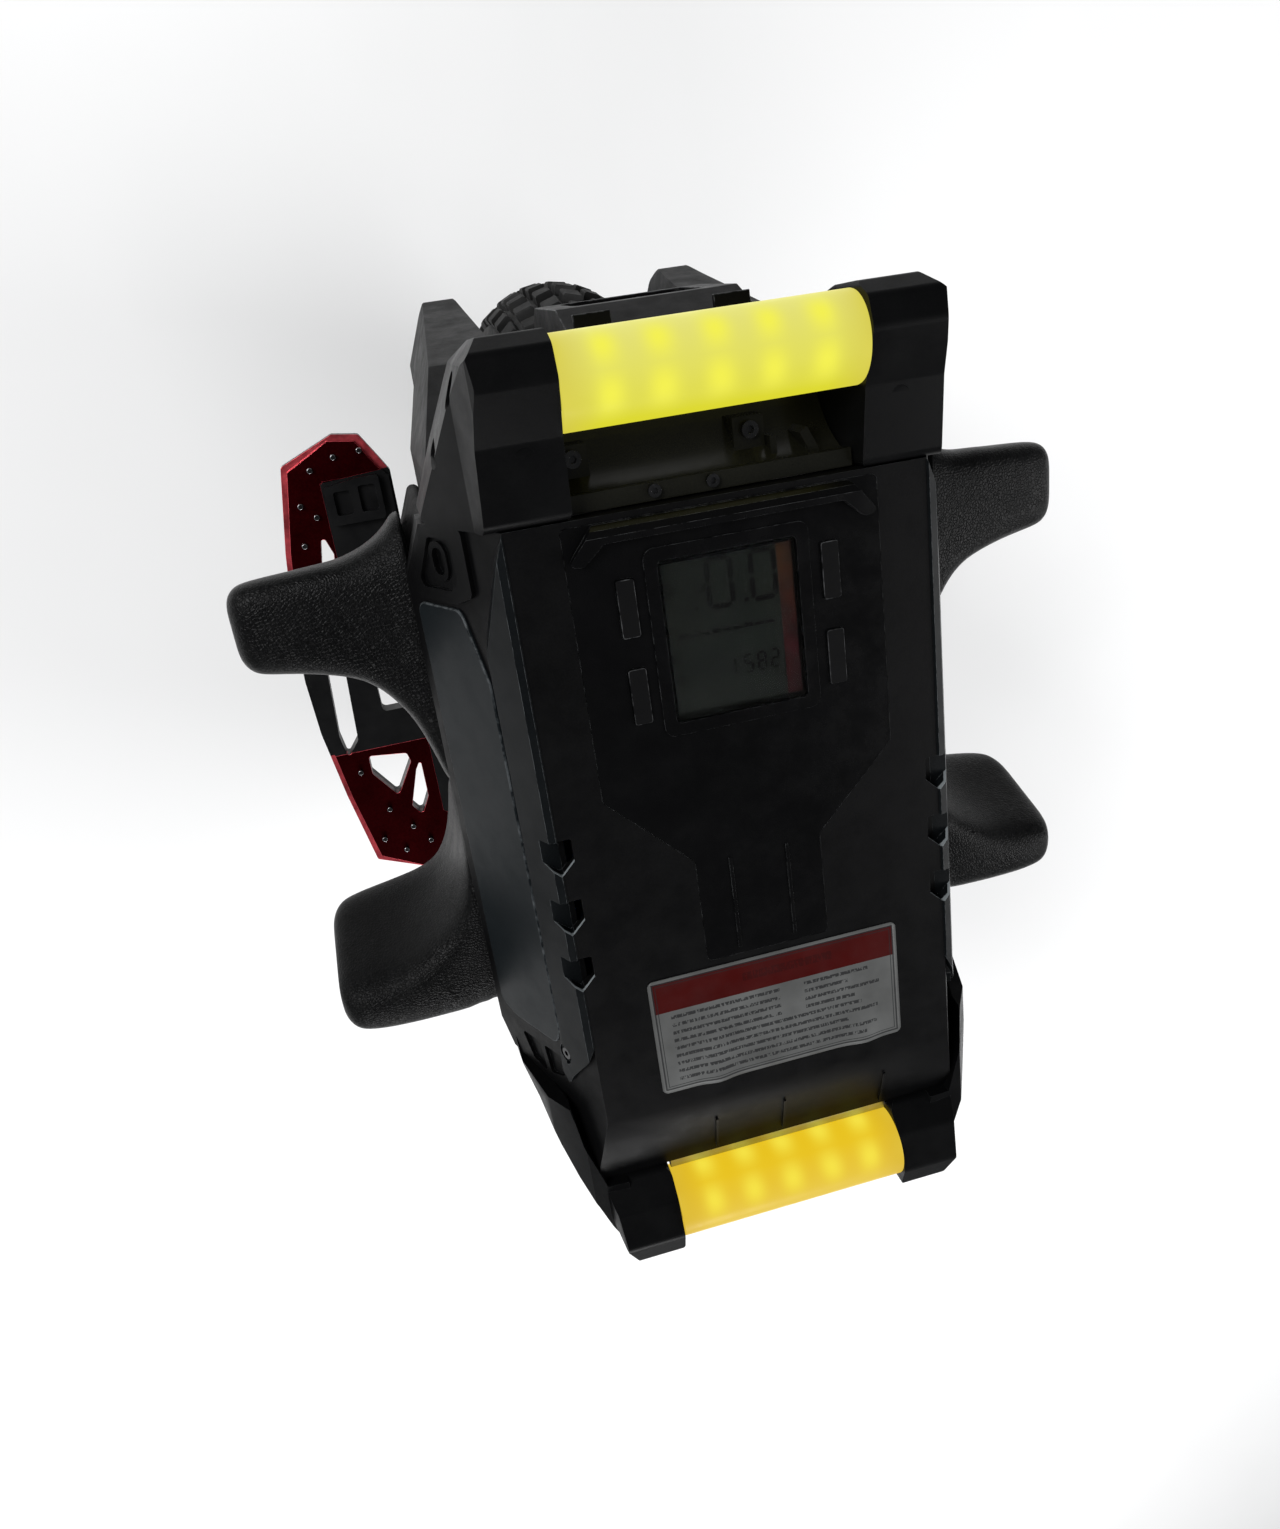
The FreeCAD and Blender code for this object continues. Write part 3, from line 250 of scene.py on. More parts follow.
def leather():
    """Moulded foam skin with a pebbled grain, painted shade in its creases, shinier in patches."""
    s = Surface("pad_skin", specular=0.085)
    pebble = s.cells(560)
    creases = s.remap(s.cells(560, "DISTANCE_TO_EDGE"), 0.0, 0.25)
    cloud = s.remap(s.noise(18, 4, 0.6), 0.3, 0.7)
    shade = s.mix(cloud, (0.0016, 0.0017, 0.0018), (0.0040, 0.0042, 0.0044))
    # The creases between the pebbles get a painted shade, darker than the skin around them.
    s.colour(s.mix(creases, (0.0008, 0.0008, 0.0009), shade))
    s.roughness(s.remap(s.noise(35, 4, 0.6), 0.3, 0.7, 0.30, 0.46))
    s.bump(creases, 0.00021, 0.8)
    s.bump(pebble, 0.00017, 0.5)
    s.bump(s.noise(140, 3), 0.0005, 0.4)
    s.shader.inputs["Sheen Weight"].default_value = 0.02
    s.shader.inputs["Sheen Roughness"].default_value = 0.5
    return s.material


def tyre_rubber():
    """Matt rubber with mould marks and a little dust in patches."""
    s = Surface("tyre_rubber", specular=0.3)
    dust = s.remap(s.noise(48, 5, 0.65), 0.5, 0.75, 0.0, 0.35)
    shade = s.mix(s.noise(130, 3), (0.003, 0.003, 0.003), (0.009, 0.009, 0.0088))
    s.colour(s.mix(dust, shade, (0.020, 0.018, 0.015)))
    s.roughness(s.remap(s.noise(70, 4), 0.3, 0.7, 0.6, 0.85))
    s.bump(s.noise(900, 3, 0.6), 0.00012, 0.8)
    s.bump(s.noise(180, 2), 0.0005, 0.5)
    return s.material


def metal(name, base, rough, direction=(1, 1, 1), relief=0.00002, worn_and_highlight=None, ledge=None):
    """Bare or anodised metal.

    It has brush lines where direction's numbers differ, lighter edges that are part wear and part painted
    highlight, and flat tops below ledge get a painted highlight.
    """
    s = Surface(name, metallic=1.0)
    lines = s.noise(600, 3, 0.6, s.stretched(direction))
    darker = tuple(0.62 * c for c in base)
    shade = s.mix(s.remap(s.noise(40, 4, 0.6), 0.3, 0.7), darker, base)
    # Lighter rounded edges: part wear, part a painted highlight.
    if worn_and_highlight:
        wear_and_glint_noise = s.remap(s.noise(220, 4, 0.7), 0.2, 0.45)
        shade = s.mix(s.math("MULTIPLY", s.edge(), wear_and_glint_noise), shade, worn_and_highlight)
    # Painted highlight on the flat tops below the ledge, standing for a bevel that catches the light.
    if ledge:
        upward = s.math("GREATER_THAN", s.facing("Z"), 0.6)
        low = s.math("LESS_THAN", s.axis("Z"), ledge)
        bright = s.mix(s.remap(s.noise(90, 3), 0.35, 0.65), tuple(0.45 * c for c in worn_and_highlight), worn_and_highlight)
        shade = s.mix(s.math("MULTIPLY", upward, low), shade, bright)
    s.colour(shade)
    s.roughness(s.remap(lines, 0.3, 0.7, rough[0], rough[1]))
    s.bump(lines, relief, 0.6)
    return s.material


def diffuser(name, place, front, rear, spot, end_tint, rows):
    """Lit tube: one colour in front, another behind, soft spots over rows of lamps, duller at both ends."""
    s = Surface(name, roughness=0.38, specular=0.08)
    x = s.axis("X")
    up = s.math("SUBTRACT", s.axis("Z"), place.z)
    forward = s.math("SUBTRACT", s.axis("Y"), place.y)
    turn = s.math("ARCTAN2", up, forward)
    wander = s.math("MULTIPLY", s.math("SUBTRACT", s.noise(25, 1), 0.5), LAMP_PITCH * 0.22)
    wave = s.math("COSINE", s.math("MULTIPLY", s.math("ADD", x, wander), 2 * math.pi / LAMP_PITCH))
    along = s.math("POWER", s.math("MULTIPLY_ADD", wave, 0.5, 0.5), 1.3)
    spots = None
    for angle in rows:
        across = s.math("MULTIPLY", s.math("SUBTRACT", turn, math.radians(angle)), 2.3)
        bell = s.math("EXPONENT", s.math("MULTIPLY", s.math("MULTIPLY", across, across), -1.0))
        spots = bell if spots is None else s.math("MAXIMUM", spots, bell)
    mask = s.math("MULTIPLY", s.math("MULTIPLY", spots, along), 0.9)
    behind = s.remap(turn, math.radians(35), math.radians(150))
    end = s.remap(s.math("ABSOLUTE", x), *TUBE_FADE_X, 0.0, 0.75)
    shade = s.mix(mask, s.mix(behind, front, rear), spot)
    shade = s.mix(end, shade, end_tint)
    s.colour(s.mix(s.noise(30, 2), (0.015, 0.014, 0.004), (0.025, 0.024, 0.008)))
    s.put(shade, s.shader.inputs["Emission Color"])
    s.shader.inputs["Emission Strength"].default_value = 0.95
    s.roughness(s.remap(s.noise(120, 4), 0.3, 0.7, 0.3, 0.45))
    s.bump(s.noise(400, 2), 0.00003, 0.5)
    return s.material


def glass():
    """Clear window with faint smears."""
    s = Surface("clear_window", roughness=0.04)
    s.colour(s.mix(s.noise(40, 4), (0.80, 0.84, 0.82), (0.9, 0.93, 0.92)))
    s.roughness(s.remap(s.noise(60, 5, 0.7), 0.4, 0.75, 0.03, 0.16))
    s.shader.inputs["Transmission Weight"].default_value = 1.0
    s.shader.inputs["IOR"].default_value = 1.16
    s.bump(s.noise(90, 2), 0.00002, 0.3)
    return s.material


def display_face(low, high):
    """Dim grey-green display glass, a little paler towards the rear edge."""
    s = Surface("display_face", roughness=0.3, specular=0.08)
    along = s.remap(s.axis("Y"), low.y, high.y)
    shade = s.mix(along, (0.0150, 0.0158, 0.0142), (0.0115, 0.0120, 0.0100))
    s.colour(s.mix(s.remap(s.noise(45, 3), 0.3, 0.7, 0.0, 0.35), shade, (0.0090, 0.0114, 0.0108)))
    s.roughness(s.remap(s.noise(90, 3), 0.3, 0.7, 0.25, 0.4))
    s.bump(s.noise(1500, 2), 0.00001, 0.5)
    return s.material


def display_ink():
    s = Surface("display_ink", roughness=0.4, specular=0.1)
    s.colour(s.mix(s.noise(300, 2), (0.0003, 0.0003, 0.0002), (0.0006, 0.0006, 0.0004)))
    s.roughness(s.remap(s.noise(200, 2), 0.3, 0.7, 0.3, 0.5))
    return s.material


def display_column(low, high):
    """Dim column beside the figures, orange in front and red behind."""
    s = Surface("display_column", roughness=0.4, specular=0.1)
    along = s.remap(s.axis("Y"), low.y, high.y, -0.6, 1.1)
    glow = s.mix(s.math("MAXIMUM", along, 0.0), (0.024, 0.0036, 0.0048), (0.028, 0.0110, 0.0034))
    patch = s.remap(s.noise(110, 2), 0.35, 0.65, 0.0, 0.7)
    shade = s.mix(patch, glow, (0.0120, 0.0060, 0.0056))
    s.colour(shade)
    s.put(shade, s.shader.inputs["Emission Color"])
    s.shader.inputs["Emission Strength"].default_value = 0.15
    s.roughness(s.remap(s.noise(200, 2), 0.3, 0.7, 0.3, 0.5))
    return s.material


LABEL_INK = (0.012, 0.012, 0.013)
LABEL_ROWS = 9
LABEL_TEXT_FROM = 0.075
LABEL_TEXT_TALL = 0.62
LABEL_BAND_FROM = 0.715
LABEL_TITLE = (0.55, 0.85)


def between(s, value, low, high):
    """1 where a value is between two others, 0 elsewhere."""
    return s.math("MULTIPLY", s.math("GREATER_THAN", value, low), s.math("LESS_THAN", value, high))


def near_to(s, value, middle, half):
    """1 where a value is within half of middle, 0 elsewhere."""
    return s.math("LESS_THAN", s.math("ABSOLUTE", s.math("SUBTRACT", value, middle)), half)


def label_print(low, high):
    """Printed film: a red band in front, thin frame lines, and rows of plain broken bars."""
    s = Surface("label_print", roughness=0.35, specular=0.1)
    u = s.remap(s.axis("X"), low.x, high.x)
    v = s.remap(s.axis("Y"), low.y, high.y)
    paper = s.mix(s.remap(s.noise(40, 4), 0.3, 0.7), (0.060, 0.061, 0.060), (0.088, 0.090, 0.089))

    row = s.math("MULTIPLY", s.math("SUBTRACT", v, LABEL_TEXT_FROM), LABEL_ROWS / LABEL_TEXT_TALL)
    bar = near_to(s, s.math("FRACT", row), 0.5, 0.21)
    letters = s.math("GREATER_THAN", s.noise(900, 2, 0.6, s.stretched((1.0, 0.35, 1.0))), 0.45)
    end = s.math("MULTIPLY_ADD", s.math("SINE", s.math("MULTIPLY", s.math("FLOOR", row), 2.4)), 0.07, 0.85)
    inside = between(s, u, LABEL_TEXT_FROM, end)
    rows_only = between(s, row, 0.0, float(LABEL_ROWS))
    two_columns = s.math("MULTIPLY", near_to(s, u, 0.56, 0.05), s.math("GREATER_THAN", row, 5.0))
    inside = s.math("MULTIPLY", s.math("MULTIPLY", inside, rows_only), s.math("SUBTRACT", 1.0, two_columns))
    ink = s.math("MULTIPLY", s.math("MULTIPLY", bar, letters), s.math("MULTIPLY", inside, 0.85))
    shade = s.mix(ink, paper, LABEL_INK)

    red = s.mix(s.noise(50, 4), (0.024, 0.0008, 0.0006), (0.046, 0.0018, 0.0014))
    shade = s.mix(s.math("GREATER_THAN", v, LABEL_BAND_FROM), shade, red)
    title = s.math("MULTIPLY", near_to(s, v, LABEL_TITLE[1], 0.035), near_to(s, u, LABEL_TITLE[0], 0.18))
    shade = s.mix(s.math("MULTIPLY", s.math("MULTIPLY", title, letters), 0.6), shade, (0.018, 0.001, 0.001))

    beside = s.math("MINIMUM", u, s.math("SUBTRACT", 1.0, u))
    beside = s.math("MULTIPLY", beside, (high.x - low.x) / (high.y - low.y))
    margin = s.math("MINIMUM", beside, s.math("MINIMUM", v, s.math("SUBTRACT", 1.0, v)))
    frames = s.math("MAXIMUM", near_to(s, margin, 0.034, 0.006), near_to(s, margin, 0.056, 0.003))
    shade = s.mix(s.math("LESS_THAN", margin, 0.028), shade, paper)
    shade = s.mix(s.math("MULTIPLY", frames, 0.85), shade, LABEL_INK)
    s.colour(shade)
    s.roughness(s.remap(s.noise(80, 4), 0.3, 0.7, 0.28, 0.42))
    s.bump(s.noise(60, 3), 0.0003, 0.4)
    return s.material


def floor_paint():
    s = Surface("floor_paint", roughness=0.7, specular=0.2)
    s.colour(s.mix(s.noise(3, 3), (0.80, 0.80, 0.80), (0.84, 0.84, 0.84)))
    s.roughness(s.remap(s.noise(8, 3), 0.3, 0.7, 0.6, 0.8))
    return s.material


# ---------------------------------------------------------------- mesh helpers


def new_piece(name, mesh, material, smooth=30):
    """A mesh as a shown piece, smooth over gentle bends and crisp over sharp ones."""
    piece = bpy.data.objects.new(name, mesh)
    bpy.context.scene.collection.objects.link(piece)
    mesh.materials.clear()
    mesh.materials.append(material)
    mesh.shade_smooth()
    mesh.set_sharp_from_angle(angle=math.radians(smooth))
    return piece


def from_bmesh(name, bm, material, smooth=30):
    bmesh.ops.recalc_face_normals(bm, faces=bm.faces)
    mesh = bpy.data.meshes.new(name)
    bm.to_mesh(mesh)
    bm.free()
    return new_piece(name, mesh, material, smooth)


def stand_for(piece, *nodes):
    """The piece is shown for these CAD nodes, on their body."""
    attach(piece, NODES[nodes[0]]["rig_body"])
    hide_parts(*nodes)
    return piece


MERGE_DISTANCE = 2e-6
FLAT_ANGLE = math.radians(0.4)
SHARP_ANGLE = math.radians(26)
SOFTENED_SMOOTH = 34
FACE_WEIGHT = 90


def soften(node, width, material):
    """Shows a copy of a CAD node with its sharp edges rounded, and marks the new edge faces."""
    bm = bmesh.new()
    bm.from_mesh(NODES[node].data)
    bmesh.ops.remove_doubles(bm, verts=bm.verts, dist=MERGE_DISTANCE)
    bmesh.ops.dissolve_limit(bm, angle_limit=FLAT_ANGLE, verts=bm.verts, edges=bm.edges)
    mark = bm.loops.layers.float.new("edge")
    sharp = [e for e in bm.edges if e.is_manifold and e.calc_face_angle() > SHARP_ANGLE]
    made = bmesh.ops.bevel(bm, geom=sharp, offset=width * MM, offset_type="OFFSET", segments=2, profile=0.5,
                           affect="EDGES", clamp_overlap=True)
    for face in made["faces"]:
        for loop in face.loops:
            loop[mark] = 1.0
    mesh = bpy.data.meshes.new(node + "_shown")
    bm.to_mesh(mesh)
    bm.free()
    piece = new_piece(node + "_shown", mesh, material, SOFTENED_SMOOTH)
    weights = piece.modifiers.new("face_weights", "WEIGHTED_NORMAL")
    weights.keep_sharp = True
    weights.weight = FACE_WEIGHT
    stand_for(piece, node)


def dress(node, material):
    """A CAD node that stays as it is and takes a material."""
    mesh = NODES[node].data
    mesh.materials.clear()
    mesh.materials.append(material)


def add_ring(bm, points):
    """New vertices at these points."""
    return [bm.verts.new(p) for p in points]


def bridge(bm, first, second):
    """A band of faces between two rings of vertices."""
    count = len(first)
    for i in range(count):
        j = (i + 1) % count
        bm.faces.new((first[i], first[j], second[j], second[i]))


def loft(bm, sections):
    """A closed skin through rings of points, with a face over the first and the last."""
    before = None
    for points in sections:
        ring = add_ring(bm, points)
        if before:
            bridge(bm, before, ring)
        else:
            bm.faces.new(ring)
        before = ring
    bm.faces.new(before)


# ---------------------------------------------------------------- tyre


TYRE_LOW, TYRE_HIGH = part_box("tyre")
WHEEL_CENTRE = (TYRE_LOW + TYRE_HIGH) / 2
TYRE_R = (TYRE_HIGH.z - TYRE_LOW.z) / 2
TREAD_DEPTH = 7 * MM
CROWN_DROP = 18 * MM
CROWN_HALF = 42 * MM
# Half of the casing's profile, in mm: the sidewall's distances across and radii, the crown's distances across
SIDEWALL = [(35, 181), (36.5, 193), (41, 203), (45, 212), (45.6, 220), (43.5, 229)]
CROWN_X = (38, 30, 20, 10, 0)
CASING_STEPS = 144
PITCHES = 54
# Rows of blocks on one side: the row's shift in pitches, then in mm its distance across, the blocks' width,
# the lengths of even and odd blocks, their skew and their height
TREAD_ROWS = (
    (0.0, 8, 13, (17, 17), 5, 7),
    (0.5, 23, 12.5, (15, 15), -4, 7),
    (0.0, 36.5, 10.5, (15, 20), 3, 6.2),
)
# The shift of one side's blocks, in pitches
SIDE_SHIFT = 0.25
BLOCK_ROOT = 1.5 * MM
BLOCK_CHAMFER = 1.1 * MM
BLOCK_DRAFT = 0.9 * MM
BLOCK_INSET = 1.9 * MM


def wheel_point(x, radius, angle):
    return WHEEL_CENTRE + Vector((x, radius * math.cos(angle), radius * math.sin(angle)))


def crown_radius(x):
    """Radius of the casing under the tread."""
    return TYRE_R - TREAD_DEPTH - CROWN_DROP * (x / CROWN_HALF) ** 2


def crown_point(x, arc, height):
    """A point above the casing: across the tread, along it, and height along the profile's normal."""
    slope = 2 * CROWN_DROP * x / CROWN_HALF ** 2
    length = math.hypot(slope, 1)
    return wheel_point(x + height * slope / length, crown_radius(x) + height / length, arc / TYRE_R)


def tread_block(bm, x, arc, wide, long, skew, height):
    """One block, open below: its root in the casing, drafted sides and a small chamfer round its top."""
    corners = [(-0.5, -0.5), (0.5, -0.5), (0.5, 0.5), (-0.5, 0.5)]
    rings = []
    for level, inset in ((-BLOCK_ROOT, 0.0), (height - BLOCK_CHAMFER, BLOCK_DRAFT), (height, BLOCK_INSET)):
        points = []
        for a, b in corners:
            across = a * (wide - 2 * inset)
            along = b * (long - 2 * inset) + skew * a
            points.append(crown_point(x + across, arc + along, level))
        rings.append(add_ring(bm, points))
    bridge(bm, rings[0], rings[1])
    bridge(bm, rings[1], rings[2])
    bm.faces.new(rings[2])


def tyre():
    """Casing with knobbly tread blocks: a split centre row, a staggered middle row and shoulder blocks."""
    bm = bmesh.new()
    profile = [(x * MM, r * MM) for x, r in SIDEWALL] + [(x * MM, crown_radius(x * MM)) for x in CROWN_X]
    profile += [(-x, r) for x, r in reversed(profile[:-1])]
    rings = []
    for i in range(CASING_STEPS):
        angle = 2 * math.pi * i / CASING_STEPS
        rings.append(add_ring(bm, [wheel_point(x, radius, angle) for x, radius in profile]))
    for i in range(CASING_STEPS):
        bridge(bm, rings[i], rings[(i + 1) % CASING_STEPS])
    pitch = 2 * math.pi * TYRE_R / PITCHES
    for i in range(PITCHES):
        for side in (-1, 1):
            arc = i * pitch + SIDE_SHIFT * side * pitch
            for phase, across, wide, lengths, skew, height in TREAD_ROWS:
                tread_block(bm, side * across * MM, arc + phase * pitch, wide * MM, lengths[i % 2] * MM,
                            side * skew * MM, height * MM)
    stand_for(from_bmesh("tyre_shown", bm, MATERIALS["tyre"], 35), "tyre")


# ---------------------------------------------------------------- springs


def fork_springs():
    """Both coils, each a round wire lofted along a helix."""
    low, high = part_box("fork_springs")
    wire = 2.75 * MM
    mean = 17.5 * MM
    turns = 9
    steps = 26
    sides = 10
    centre_x = high.x - mean - wire
    centre_y = (low.y + high.y) / 2
    rise = (high.z - low.z - 2 * wire) / (turns * steps)
    up = Vector((0, 0, 1))
    round_wire = [2 * math.pi * j / sides for j in range(sides)]
    bm = bmesh.new()
    for side in (-1, 1):
        sections = []
        for i in range(turns * steps + 1):
            angle = 2 * math.pi * i / steps
            out = Vector((math.cos(angle), math.sin(angle), 0))
            centre = Vector((side * centre_x, centre_y, low.z + wire + rise * i)) + out * mean
            sections.append(
                [centre + (out * math.cos(turn) + up * math.sin(turn)) * wire for turn in round_wire]
            )
        loft(bm, sections)
    piece = stand_for(from_bmesh("fork_springs_shown", bm, MATERIALS["spring"]), "fork_springs")
    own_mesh(piece)


# ---------------------------------------------------------------- leg pads


def section_ring(mesh, x, count):
    """Outline of a mesh where it meets a plane across X: (y, z) points at even angles, slightly rounded."""
    points = []
    for edge in mesh.edges:
        a, b = (mesh.vertices[i].co for i in edge.vertices)
        if (a.x - x) * (b.x - x) < 0:
            points.append(a.lerp(b, (x - a.x) / (b.x - a.x)))
    cloud = np.array([(p.y, p.z) for p in points])
    middle = (cloud.min(0) + cloud.max(0)) / 2
    order = np.argsort(np.arctan2(cloud[:, 1] - middle[1], cloud[:, 0] - middle[0]))
    cloud = cloud[order]
    ring = []
    for i in range(count):
        angle = 2 * math.pi * i / count
        way = np.array([math.cos(angle), math.sin(angle)])
        best = 0.0
        for j in range(len(cloud)):
            p, q = cloud[j - 1] - middle, cloud[j] - middle
            span = q - p
            cross = way[0] * span[1] - way[1] * span[0]
            if abs(cross) < 1e-12:
                continue
            reach = (p[0] * span[1] - p[1] * span[0]) / cross
            share = (p[0] * way[1] - p[1] * way[0]) / cross
            if reach > best and -1e-6 <= share <= 1 + 1e-6:
                best = reach
        ring.append(middle + way * best)
    ring = np.array(ring)
    size = ring.max(0) - ring.min(0)
    for _ in range(2):
        ring = 0.6 * ring + 0.2 * (np.roll(ring, 1, 0) + np.roll(ring, -1, 0))
    return middle + (ring - middle) * size / (ring.max(0) - ring.min(0))


PAD_POINTS = 44
PAD_EDGE = 11 * MM
PAD_SHARES = (-0.05, -0.02, 0.01, 0.05, 0.11, 0.18, 0.26, 0.36, 0.48, 0.62, 0.75)
PAD_EDGE_DEGREES = (25, 45, 62, 78, 88)
PAD_LAST = (1.002, PAD_EDGE + 8 * MM)
SECTION_SHARES = (0.004, 0.985)


def leg_pad(node):
    """Moulded foam pad: a smooth loft through its solid's sections, with a rounded rim at its outer end.

    A station is a share of the pad's length and how far its section is drawn in. The sections are cut between
    SECTION_SHARES, where the solid is whole.
    """
    mesh = NODES[node].data
    low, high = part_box(node)
    root, tip = (low.x, high.x) if low.x > 0 else (high.x, low.x)
    length = abs(tip - root)
    stations = [(share, 0.0) for share in (*PAD_SHARES, 1 - PAD_EDGE / length)]
    for degrees in PAD_EDGE_DEGREES:
        angle = math.radians(degrees)
        stations.append((1 - PAD_EDGE * (1 - math.sin(angle)) / length, PAD_EDGE * (1 - math.cos(angle))))
    stations.append(PAD_LAST)
    first, last = SECTION_SHARES
    sections = []
    for share, inset in stations:
        ring = section_ring(mesh, root + (tip - root) * min(max(share, first), last), PAD_POINTS)
        middle = (ring.min(0) + ring.max(0)) / 2
        size = ring.max(0) - ring.min(0)
        scale = (size - 2 * inset) / size
        x = root + (tip - root) * share
        sections.append([Vector((x, *(middle + (p - middle) * scale))) for p in ring])
    bm = bmesh.new()
    loft(bm, sections)
    piece = from_bmesh(node + "_shown", bm, MATERIALS["pad"], 180)
    smooth = piece.modifiers.new("smooth", "SUBSURF")
    smooth.levels = 2
    smooth.render_levels = 2
    stand_for(piece, node)


# ---------------------------------------------------------------- display


def plate(bm, outline, level):
    """A mark on the display glass: a thin flat solid from an outline of (x, y) pairs."""
    bottom = add_ring(bm, [Vector((x, y, level)) for x, y in outline])
    top = add_ring(bm, [Vector((x, y, level + MARK_THICK)) for x, y in outline])
    bridge(bm, bottom, top)
    bm.faces.new(top)
    bm.faces.new(list(reversed(bottom)))


def bar(bm, x, y, wide, tall, level):
    """A plain mark with its lower left corner at (x, y)."""
    plate(bm, [(x, y), (x + wide, y), (x + wide, y + tall), (x, y + tall)], level)


DIGIT_SEGMENTS = {"0": "abcdef", "1": "bc", "2": "abged", "5": "afgcd", "8": "abcdefg"}
DIGIT_GAP = 0.18

# The marks on the display: places and sizes are shares of the window, the rest is in metres
MARK_DROP = 0.15 * MM
MARK_THICK = 0.1 * MM
BIG_FIGURES_X = (0.35, 0.67)
BIG_FIGURES_Y = 0.66
BIG_FIGURE = (0.17, 0.29)
BIG_STROKE = 2.6 * MM
POINT = (0.60, 0.655)
POINT_SIZE = 2.2 * MM
RULE = (0.10, 0.50)
RULE_MARKS = 9
RULE_STEP = 0.08
RULE_WIDE = 0.066
RULE_TALL = (2.4 * MM, 1.6 * MM, 1.6 * MM)
SMALL_FIGURES = ((0.43, "1"), (0.56, "5"), (0.66, "8"), (0.76, "2"))
SMALL_FIGURES_Y = 0.22
SMALL_FIGURE = (0.055, 0.11)
SMALL_STROKE = 1.2 * MM
GAUGE = (0.865, 0.03)
GAUGE_SIZE = (0.11, 0.94)


def digit(bm, character, x, y, wide, tall, stroke, level):
    """One seven-segment digit with its lower left corner at (x, y)."""
    middle, top, right = y + tall / 2, y + tall, x + wide
    places = {
        "a": (x, top, right, top), "b": (right, middle, right, top), "c": (right, y, right, middle),
        "d": (x, y, right, y), "e": (x, y, x, middle), "f": (x, middle, x, top),
        "g": (x, middle, right, middle),
    }
    for name in DIGIT_SEGMENTS[character]:
        x0, y0, x1, y1 = places[name]
        way = Vector((x1 - x0, y1 - y0)).normalized()
        side = Vector((-way.y, way.x)) * stroke / 2
        start = Vector((x0, y0)) + way * stroke * DIGIT_GAP
        end = Vector((x1, y1)) - way * stroke * DIGIT_GAP
        shape = [start, start + way * stroke / 2 + side, end - way * stroke / 2 + side, end,
                 end - way * stroke / 2 - side, start + way * stroke / 2 - side]
        plate(bm, shape, level)


def display_marks():
    """Figures, a rule and a bar gauge on the display glass, under the clear window."""
    low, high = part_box("display_lens")
    level = low.z - MARK_DROP
    width = high.x - low.x
    depth = high.y - low.y

    def place(u, v):
        return low.x + u * width, low.y + v * depth

    bm = bmesh.new()
    for u in BIG_FIGURES_X:
        digit(bm, "0", *place(u, BIG_FIGURES_Y), BIG_FIGURE[0] * width, BIG_FIGURE[1] * depth,
              BIG_STROKE, level)
    bar(bm, *place(*POINT), POINT_SIZE, POINT_SIZE, level)
    for i in range(RULE_MARKS):
        bar(bm, *place(RULE[0] + RULE_STEP * i, RULE[1]), RULE_WIDE * width, RULE_TALL[i % 3], level)
    for u, figure in SMALL_FIGURES:
        digit(bm, figure, *place(u, SMALL_FIGURES_Y), SMALL_FIGURE[0] * width, SMALL_FIGURE[1] * depth,
              SMALL_STROKE, level)
    figures = from_bmesh("display_figures", bm, MATERIALS["figure"])

    bm = bmesh.new()
    bar(bm, *place(*GAUGE), GAUGE_SIZE[0] * width, GAUGE_SIZE[1] * depth, level)
    gauge = from_bmesh("display_gauge", bm, MATERIALS["gauge"])
    for piece in (figures, gauge):
        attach(piece, "chassis")


LABEL_FOLDS = ((0.23, 0.055), (0.84, 0.06))
FOLD_HEIGHT = 2.0 * MM
FOLD_REACH = 0.75


def label():
    """Printed film on the deck, slightly lifted and rippled along its rear edge."""
    low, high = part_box("label_plate")
    columns, rows = 56, 30
    inset = 0.2 * MM
    corner = 4 * MM
    bm = bmesh.new()
    grid = []
    for j in range(rows + 1):
        line = []
        for i in range(columns + 1):
            x = low.x + inset + (high.x - low.x - 2 * inset) * i / columns
            y = low.y + inset + (high.y - low.y - 2 * inset) * j / rows
            share = i / columns
            folds = sum(math.exp(-((share - middle) / wide) ** 2) for middle, wide in LABEL_FOLDS)
            ripple = FOLD_HEIGHT * folds * max(0.0, 1 - j / (FOLD_REACH * rows)) ** 1.5
            line.append(bm.verts.new((x, y, high.z + ripple)))
        grid.append(line)
    for j in range(rows):
        for i in range(columns):
            bm.faces.new((grid[j][i], grid[j][i + 1], grid[j + 1][i + 1], grid[j + 1][i]))
    for vert in bm.verts:
        dx = max(low.x + corner - vert.co.x, vert.co.x - high.x + corner, 0)
        dy = max(low.y + corner - vert.co.y, vert.co.y - high.y + corner, 0)
        reach = math.hypot(dx, dy)
        if reach > corner:
            pull = 1 - corner / reach
            vert.co.x -= math.copysign(dx * pull, vert.co.x - (low.x + high.x) / 2)
            vert.co.y -= math.copysign(dy * pull, vert.co.y - (low.y + high.y) / 2)
    piece = from_bmesh("label_shown", bm, MATERIALS["label"], 180)
    thick = piece.modifiers.new("film", "SOLIDIFY")
    thick.thickness = 0.3 * MM
    thick.offset = -1
    stand_for(piece, "label_plate")


# ---------------------------------------------------------------- scene


FLOOR_HALF = 6.0
SURROUND = (0.95, 0.97, 1.0, 1.0)
SURROUND_STRENGTH = 0.2
LAMP_TARGET = Vector((0, 0, 0.45))
LAMPS = {
    "key_light": ((-1.6, 1.2, 2.3), (1.2, 1.2), 66),
    "fill_light": ((1.8, -0.6, 1.8), (1.4, 1.4), 42),
    "rim_light": ((-0.4, -2.2, 1.5), (1.6, 0.8), 36),
}
CAMERA_LENS = 26.85
CAMERA_SENSOR = 36
CAMERA_CLIP = (0.02, 50)
CAMERA_PLACE = (-0.1448, 0.2580, 1.1465)
CAMERA_RIGHT = (0.96279, -0.13356, 0.23495)
CAMERA_BACK = (-0.16881, 0.38173, 0.90873)


